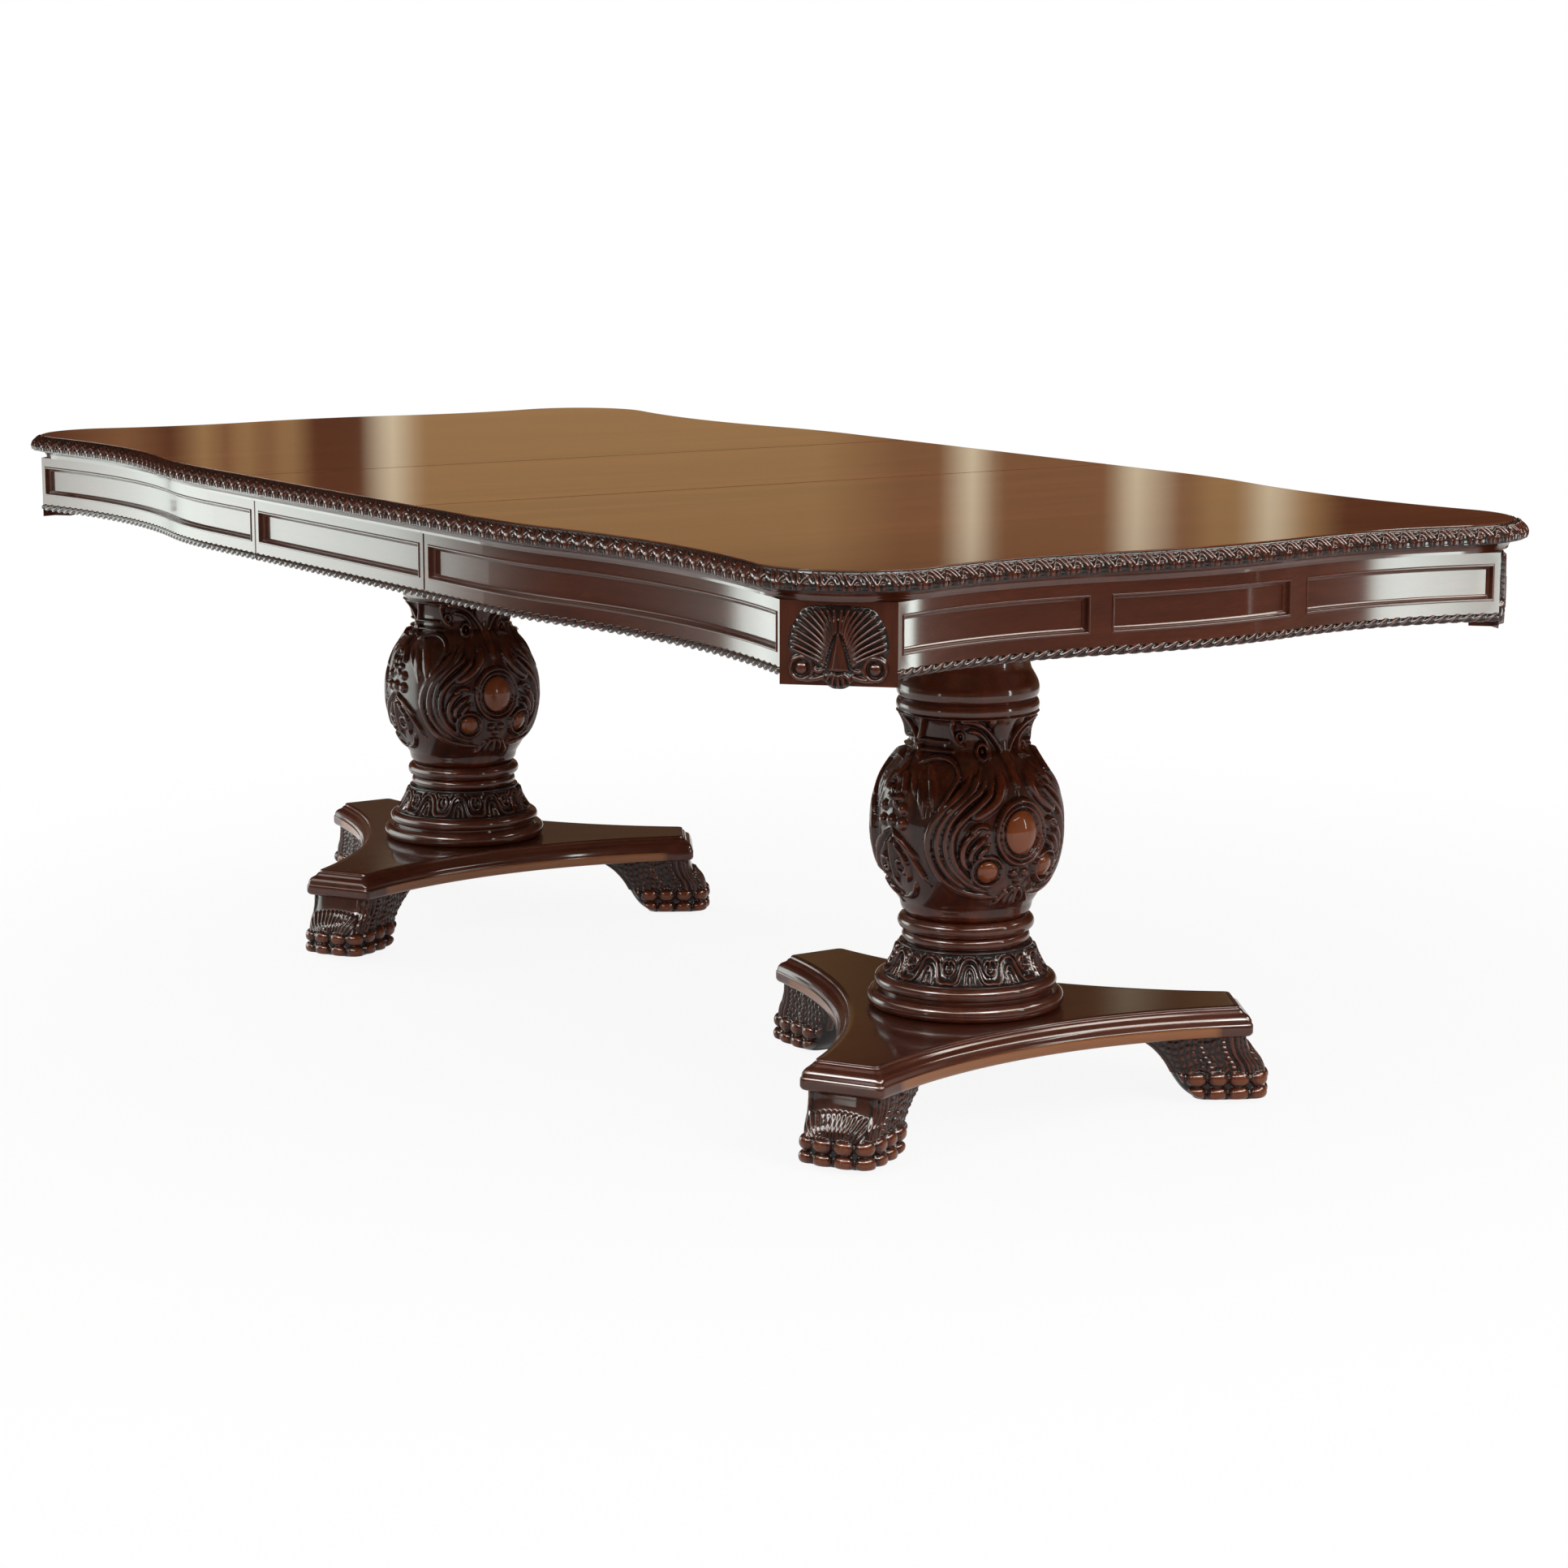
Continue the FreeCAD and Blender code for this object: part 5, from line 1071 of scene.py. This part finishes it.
def mitred(length, count):
    """Shares of one side of a frame, with a place just short of each mitre so that it stays sharp."""
    near = MITRE / length
    return np.concatenate([[0, near], np.linspace(0, 1, count)[1:-1], [1 - near]])


def panel_frame(shape, path, start, stop, turn):
    """A mitred frame just inside a sunk panel between two stations of a path: the section is carried round a
    rectangle that shrinks as the section steps in."""
    read, along_path = walked(path, STATIONS)
    long_way, short_way = mitred(stop - start, 130), mitred(PANEL_HIGH - PANEL_LOW, 9)
    zero, one = np.zeros_like, np.ones_like
    along = np.concatenate([long_way, one(short_way), 1 - long_way, zero(short_way)])[:, None]
    rise = np.concatenate([zero(long_way), short_way, one(long_way), 1 - short_way])[:, None]
    step, out = FRAME_SECTION.T
    s = start + step + along * (stop - start - 2 * step)
    z = PANEL_LOW + step + rise * (PANEL_HIGH - PANEL_LOW - 2 * step)
    read = read_off(read, along_path, s)
    points = np.concatenate([read[..., :2] + out[:, None] * read[..., 2:], z[..., None]], -1)
    shape.add(points * turn, closed=True)


def station_at(path, y):
    """Arc length at which a path crosses a y."""
    read, along = walked(path, STATIONS)
    return np.interp(y, read[:, 1], along)


side_length = path_length(FRONT_RUN)
inner, outer = END_STILES - END_STILE_WIDTH / 2, END_STILES + END_STILE_WIDTH / 2
breaks = [BLOCK_STILE, *(station_at(END_RUN, y) for y in (-outer, -inner, inner, outer)),
          path_length(END_RUN) - BLOCK_STILE]
SIDE_PANELS = ((FRONT_RUN, SEAM_STILE, side_length - BLOCK_STILE), (BACK_RUN, BLOCK_STILE, side_length - SEAM_STILE))
END_PANELS = tuple((END_RUN, start, stop) for start, stop in zip(breaks[::2], breaks[1::2]))
LEAF_PANELS = tuple((path, SEAM_STILE, 2 * LEAF_EDGE - SEAM_STILE) for path in LEAF_RUNS)
for half, name, panels, grain in (("left", "side_panel_frames", SIDE_PANELS, LONG_GRAIN),
                                  ("left", "end_panel_frames", END_PANELS, CROSS_GRAIN),
                                  ("right", "side_panel_frames", SIDE_PANELS, LONG_GRAIN),
                                  ("right", "end_panel_frames", END_PANELS, CROSS_GRAIN),
                                  ("leaf", "panel_frames", LEAF_PANELS, LONG_GRAIN)):
    frames = Shape()
    for path, start, stop in panels:
        panel_frame(frames, path, start, stop, TURN[half])
    frames.piece(half, name, grain, "lacquered_wood")


# Stage, light and camera.
def light_rays(tree):
    """The kinds of ray, and 1 for those that mirrors and glass send on."""
    rays = add_node(tree, "ShaderNodeLightPath").outputs
    return rays, maths(tree, "MAXIMUM", rays["Is Glossy Ray"], rays["Is Transmission Ray"])


def floor_paper():
    """White to the eye, with a soft shadow: part of it glows for camera rays and the rest is lit."""
    material, tree = new_material("floor_paper")
    paper = add_node(tree, "ShaderNodeBsdfPrincipled", {"Base Color": srgb("#e9e6e2"), "Roughness": 0.9})
    rays, mirrored = light_rays(tree)
    away = add_node(tree, "ShaderNodeVectorMath", {0: own_place(tree)}, operation="LENGTH").outputs["Value"]
    fade = mapped(tree, away, 0.8, 2.6, 0.9, 1.0, interpolation_type="SMOOTHSTEP")
    share = maths(tree, "MULTIPLY_ADD", rays["Is Camera Ray"], fade, maths(tree, "MULTIPLY", mirrored, 0.3))
    glow = add_node(tree, "ShaderNodeEmission", {"Color": (1, 1, 1, 1), "Strength": 1.0})
    both = add_node(tree, "ShaderNodeMixShader", {0: share, 1: paper.outputs[0], 2: glow.outputs[0]})
    add_node(tree, "ShaderNodeOutputMaterial", {"Surface": both.outputs[0]})
    return material


def studio_glow():
    """Plain glow, in the colour that a sheet carries at its points."""
    material, tree = new_material("studio_glow")
    shade = add_node(tree, "ShaderNodeAttribute", attribute_name="glow")
    glow = add_node(tree, "ShaderNodeEmission", {"Color": shade.outputs["Color"], "Strength": 1.0})
    add_node(tree, "ShaderNodeOutputMaterial", {"Surface": glow.outputs[0]})
    return material


STUDIO_GLOW = studio_glow()


def stage_sheet(name, points, material):
    """A flat or bent sheet of the studio."""
    mesh = bpy.data.meshes.new(name)
    mesh.from_pydata(points.reshape(-1, 3).tolist(), [], grid_faces(*points.shape[:2]).tolist())
    mesh.materials.append(material)
    item = linked(name, mesh)
    return item


def square_of(reach, height):
    """Corners of a level square about the middle of the stage."""
    ends = np.array([-reach, reach])
    return np.stack([*np.meshgrid(ends, ends, indexing="ij"), np.full((2, 2), height)], -1)


def blended(stops, place):
    """Linear colour at each place on a scale of (place, hex colour) stops."""
    at, colours = zip(*stops)
    return read_off(np.array([srgb(colour) for colour in colours]), at, place)


def mirrored_sheet(name, points, glow):
    """A sheet that only mirrors see; glow is its linear colour at each point."""
    item = stage_sheet(name, points, STUDIO_GLOW)
    shade = item.data.color_attributes.new("glow", "FLOAT_COLOR", "POINT")
    shade.data.foreach_set("color", glow.astype(np.float32).ravel())
    item.visible_camera = item.visible_diffuse = item.visible_shadow = item.visible_transmission = False
    return item


def round_sheet(name, radius, degrees, rises, glow):
    """A ring round the stage, or a part of one, with one row of glow for each height."""
    turned, rise = np.radians(degrees)[None, :], np.array(rises)[:, None]
    points = np.stack([radius * np.cos(turned) + 0 * rise, radius * np.sin(turned) + 0 * rise, rise + 0 * turned], -1)
    return mirrored_sheet(name, points, np.stack(glow))


def straight_sheet(name, start, stop, low, high, stops, strength):
    """A screen from one plan point to another; stops give its colour along the way."""
    share = np.linspace(0, 1, 41)[:, None]
    plan = np.array(start) + share * (np.array(stop) - start)
    points = np.stack([np.hstack([plan, np.full_like(share, z)]) for z in (low, high)])
    glow = blended(stops, share[:, 0]) * strength
    mirrored_sheet(name, points, np.stack([glow, glow]))


FLOOR_REACH = 14.0
stage_sheet("floor", square_of(FLOOR_REACH, 0.0).swapaxes(0, 1)[::-1], floor_paper())

# Warm flats with darker and paler folds, the same four times round: dim above the height that the table's top
# mirrors, a dimmer row of folds over that, and a dim ceiling.
FLATS_RADIUS = 12.0
FLATS_TOP = 7.0
UPPER_FOLDS = 0.48
TURNED = np.linspace(-180, 180, 1441)
DARK, MIDDLE, TAN, PALE = "#5a3524", "#8a6142", "#aa8459", "#efdcba"
FLATS_FOLDS = (
    (118.0, DARK), (133.6, DARK), (134.4, TAN), (135.2, PALE), (135.9, TAN), (136.5, TAN), (137.2, MIDDLE),
    (138.3, PALE), (138.9, MIDDLE), (141.4, MIDDLE), (142.0, PALE), (142.7, MIDDLE), (143.6, MIDDLE), (145.5, TAN),
    (154.6, TAN), (155.3, PALE), (156.0, DARK), (157.0, DARK), (157.6, TAN), (158.1, MIDDLE), (158.6, TAN),
    (159.0, MIDDLE), (159.5, TAN), (160.2, DARK), (161.2, MIDDLE), (163.0, DARK), (172.0, DARK))
folds = blended(FLATS_FOLDS, 90 + TURNED % 90)
dim = np.tile(srgb("#2e1c12"), (len(TURNED), 1))
round_sheet("studio_flats", FLATS_RADIUS, TURNED, (0.0, 2.33, 2.43, 2.5, 3.3, 3.6, FLATS_TOP),
            (folds, folds, dim, UPPER_FOLDS * folds, UPPER_FOLDS * folds, dim, dim))
mirrored_sheet("studio_ceiling", square_of(FLATS_RADIUS, FLATS_TOP), np.tile(srgb("#4a3c32"), (2, 2, 1)))

# A low dark screen, with a slit of light beside the front and a dim one beyond the end.
SCREEN, SLIT, GREY = "#2c2018", "#f0ece4", "#5c5650"
SCREEN_LIGHTS = ((-180.0, SCREEN), (-73.5, SCREEN), (-72.5, SLIT), (-70.0, SLIT), (-69.0, SCREEN), (46.0, SCREEN),
                 (54.0, GREY), (70.0, GREY), (78.0, SCREEN), (180.0, SCREEN))
SCREEN_RADIUS = 4.0
SCREEN_HEIGHT = 0.84
lights = blended(SCREEN_LIGHTS, TURNED) * 4.5
round_sheet("studio_screen", SCREEN_RADIUS, TURNED, (0.0, SCREEN_HEIGHT), (lights, lights))

# Reflectors beside the front and the end, no higher than the underside of the edge, and a band of sky above the front
# that catches the carving.
REFLECTOR_TOP = 0.76
straight_sheet("front_reflector", (-3.0, -0.5), (-0.83, -1.25), 0.0, REFLECTOR_TOP,
               ((0.0, "#8a8f8c"), (0.06, "#8b908d"), (0.3, "#abb2ae"), (0.54, "#cad2cd"), (0.7, "#eaf2ed"),
                (0.8, "#e4ece7"), (0.9, "#d8e0db"), (0.985, SCREEN), (1.0, SCREEN)), 5.2)
straight_sheet("end_reflector", (1.481, 0.46), (1.625, 0.646), 0.4, REFLECTOR_TOP,
               ((0.0, SCREEN), (0.15, "#e4f0ea"), (0.35, "#f4fffa"), (0.65, "#e4f0ea"), (1.0, SCREEN)), 15.0)
SKY_TURN = np.linspace(-150, 65, 216)
SKY_RADIUS = 3.4
SKY_RISE = (2.2, 3.6)
HAZE, WINDOW = "#b4b0a8", "#ffffff"
sky = blended(((-150.0, "#2a2826"), (-90.0, "#76726c"), (-82.0, HAZE), (-80.0, WINDOW), (-66.0, WINDOW), (-64.0, HAZE),
               (-12.0, HAZE), (-10.0, WINDOW), (8.0, WINDOW), (10.0, HAZE), (65.0, HAZE)), SKY_TURN) * 26.0
front_sky = round_sheet("front_sky", SKY_RADIUS, SKY_TURN, SKY_RISE, (sky, sky))
# The sky is kept off the flat top, which would mirror it as a white sheet.
shaded = bpy.data.collections.new("kept_from_sky")
for node_name in ("left_top_panel", "right_top_panel", "leaf_panel"):
    shaded.objects.link(nodes[node_name])
front_sky.light_linking.receiver_collection = shaded
for entry in shaded.collection_objects:
    entry.light_linking.link_state = "EXCLUDE"

scene = bpy.context.scene
scene.view_settings.view_transform = "Standard"
world = bpy.data.worlds.new("studio")
scene.world = world
world.use_nodes = True
world_tree = world.node_tree
world_tree.nodes.clear()
rays, mirrored = light_rays(world_tree)
shown = maths(world_tree, "MAXIMUM", rays["Is Camera Ray"], mirrored)
backdrop = add_node(world_tree, "ShaderNodeBackground",
                    {"Color": (1, 1, 1, 1), "Strength": mapped(world_tree, shown, 0.0, 1.0, 0.5, 1.0)})
add_node(world_tree, "ShaderNodeOutputWorld", {"Surface": backdrop.outputs[0]})


def place_facing(name, data, place, way):
    """Puts a light or a camera at a place, looking along a way."""
    item = linked(name, data)
    item.location = place
    item.rotation_euler = way.to_track_quat("-Z", "Y").to_euler()
    return item


def softbox(name, place, target, width, height, radiance):
    """A white rectangular soft light that faces a point and that mirrors don't see: power is radiance x pi x area."""
    lamp = bpy.data.lights.new(name, "AREA")
    lamp.shape = "RECTANGLE"
    lamp.size, lamp.size_y = width, height
    lamp.energy = radiance * math.pi * width * height
    item = place_facing(name, lamp, place, Vector(target) - Vector(place))
    item.visible_camera = item.visible_glossy = False


softbox("window_light", (-3.25, -1.32, 1.1), (0, 0, 0.7), 2.8, 2.1, 4.0)
softbox("front_light", (1.6, -3.4, 2.4), (0, 0, 0.5), 0.5, 1.0, 22.0)
softbox("end_glint", (3.6, 0.8, 2.4), (0.7, 0, 0.4), 0.5, 1.0, 14.0)
softbox("end_light", (4.1, 0.7, 1.0), (0.7, 0, 0.4), 1.6, 1.6, 6.0)

CAMERA_AZIMUTH = 57.0
CAMERA_PITCH = 10.1
CAMERA_DISTANCE = 5.10
CAMERA_TARGET = (0.2004, 0.0402, 0.344)
CAMERA_LENS = 82.0
CAMERA_SENSOR = 36.0
azimuth, pitch = math.radians(CAMERA_AZIMUTH), math.radians(CAMERA_PITCH)
back = Vector((math.sin(azimuth) * math.cos(pitch), -math.cos(azimuth) * math.cos(pitch), math.sin(pitch)))
camera_data = bpy.data.cameras.new("camera")
camera_data.lens = CAMERA_LENS
camera_data.sensor_width = CAMERA_SENSOR
scene.camera = place_facing("camera", camera_data, Vector(CAMERA_TARGET) + back * CAMERA_DISTANCE, -back)
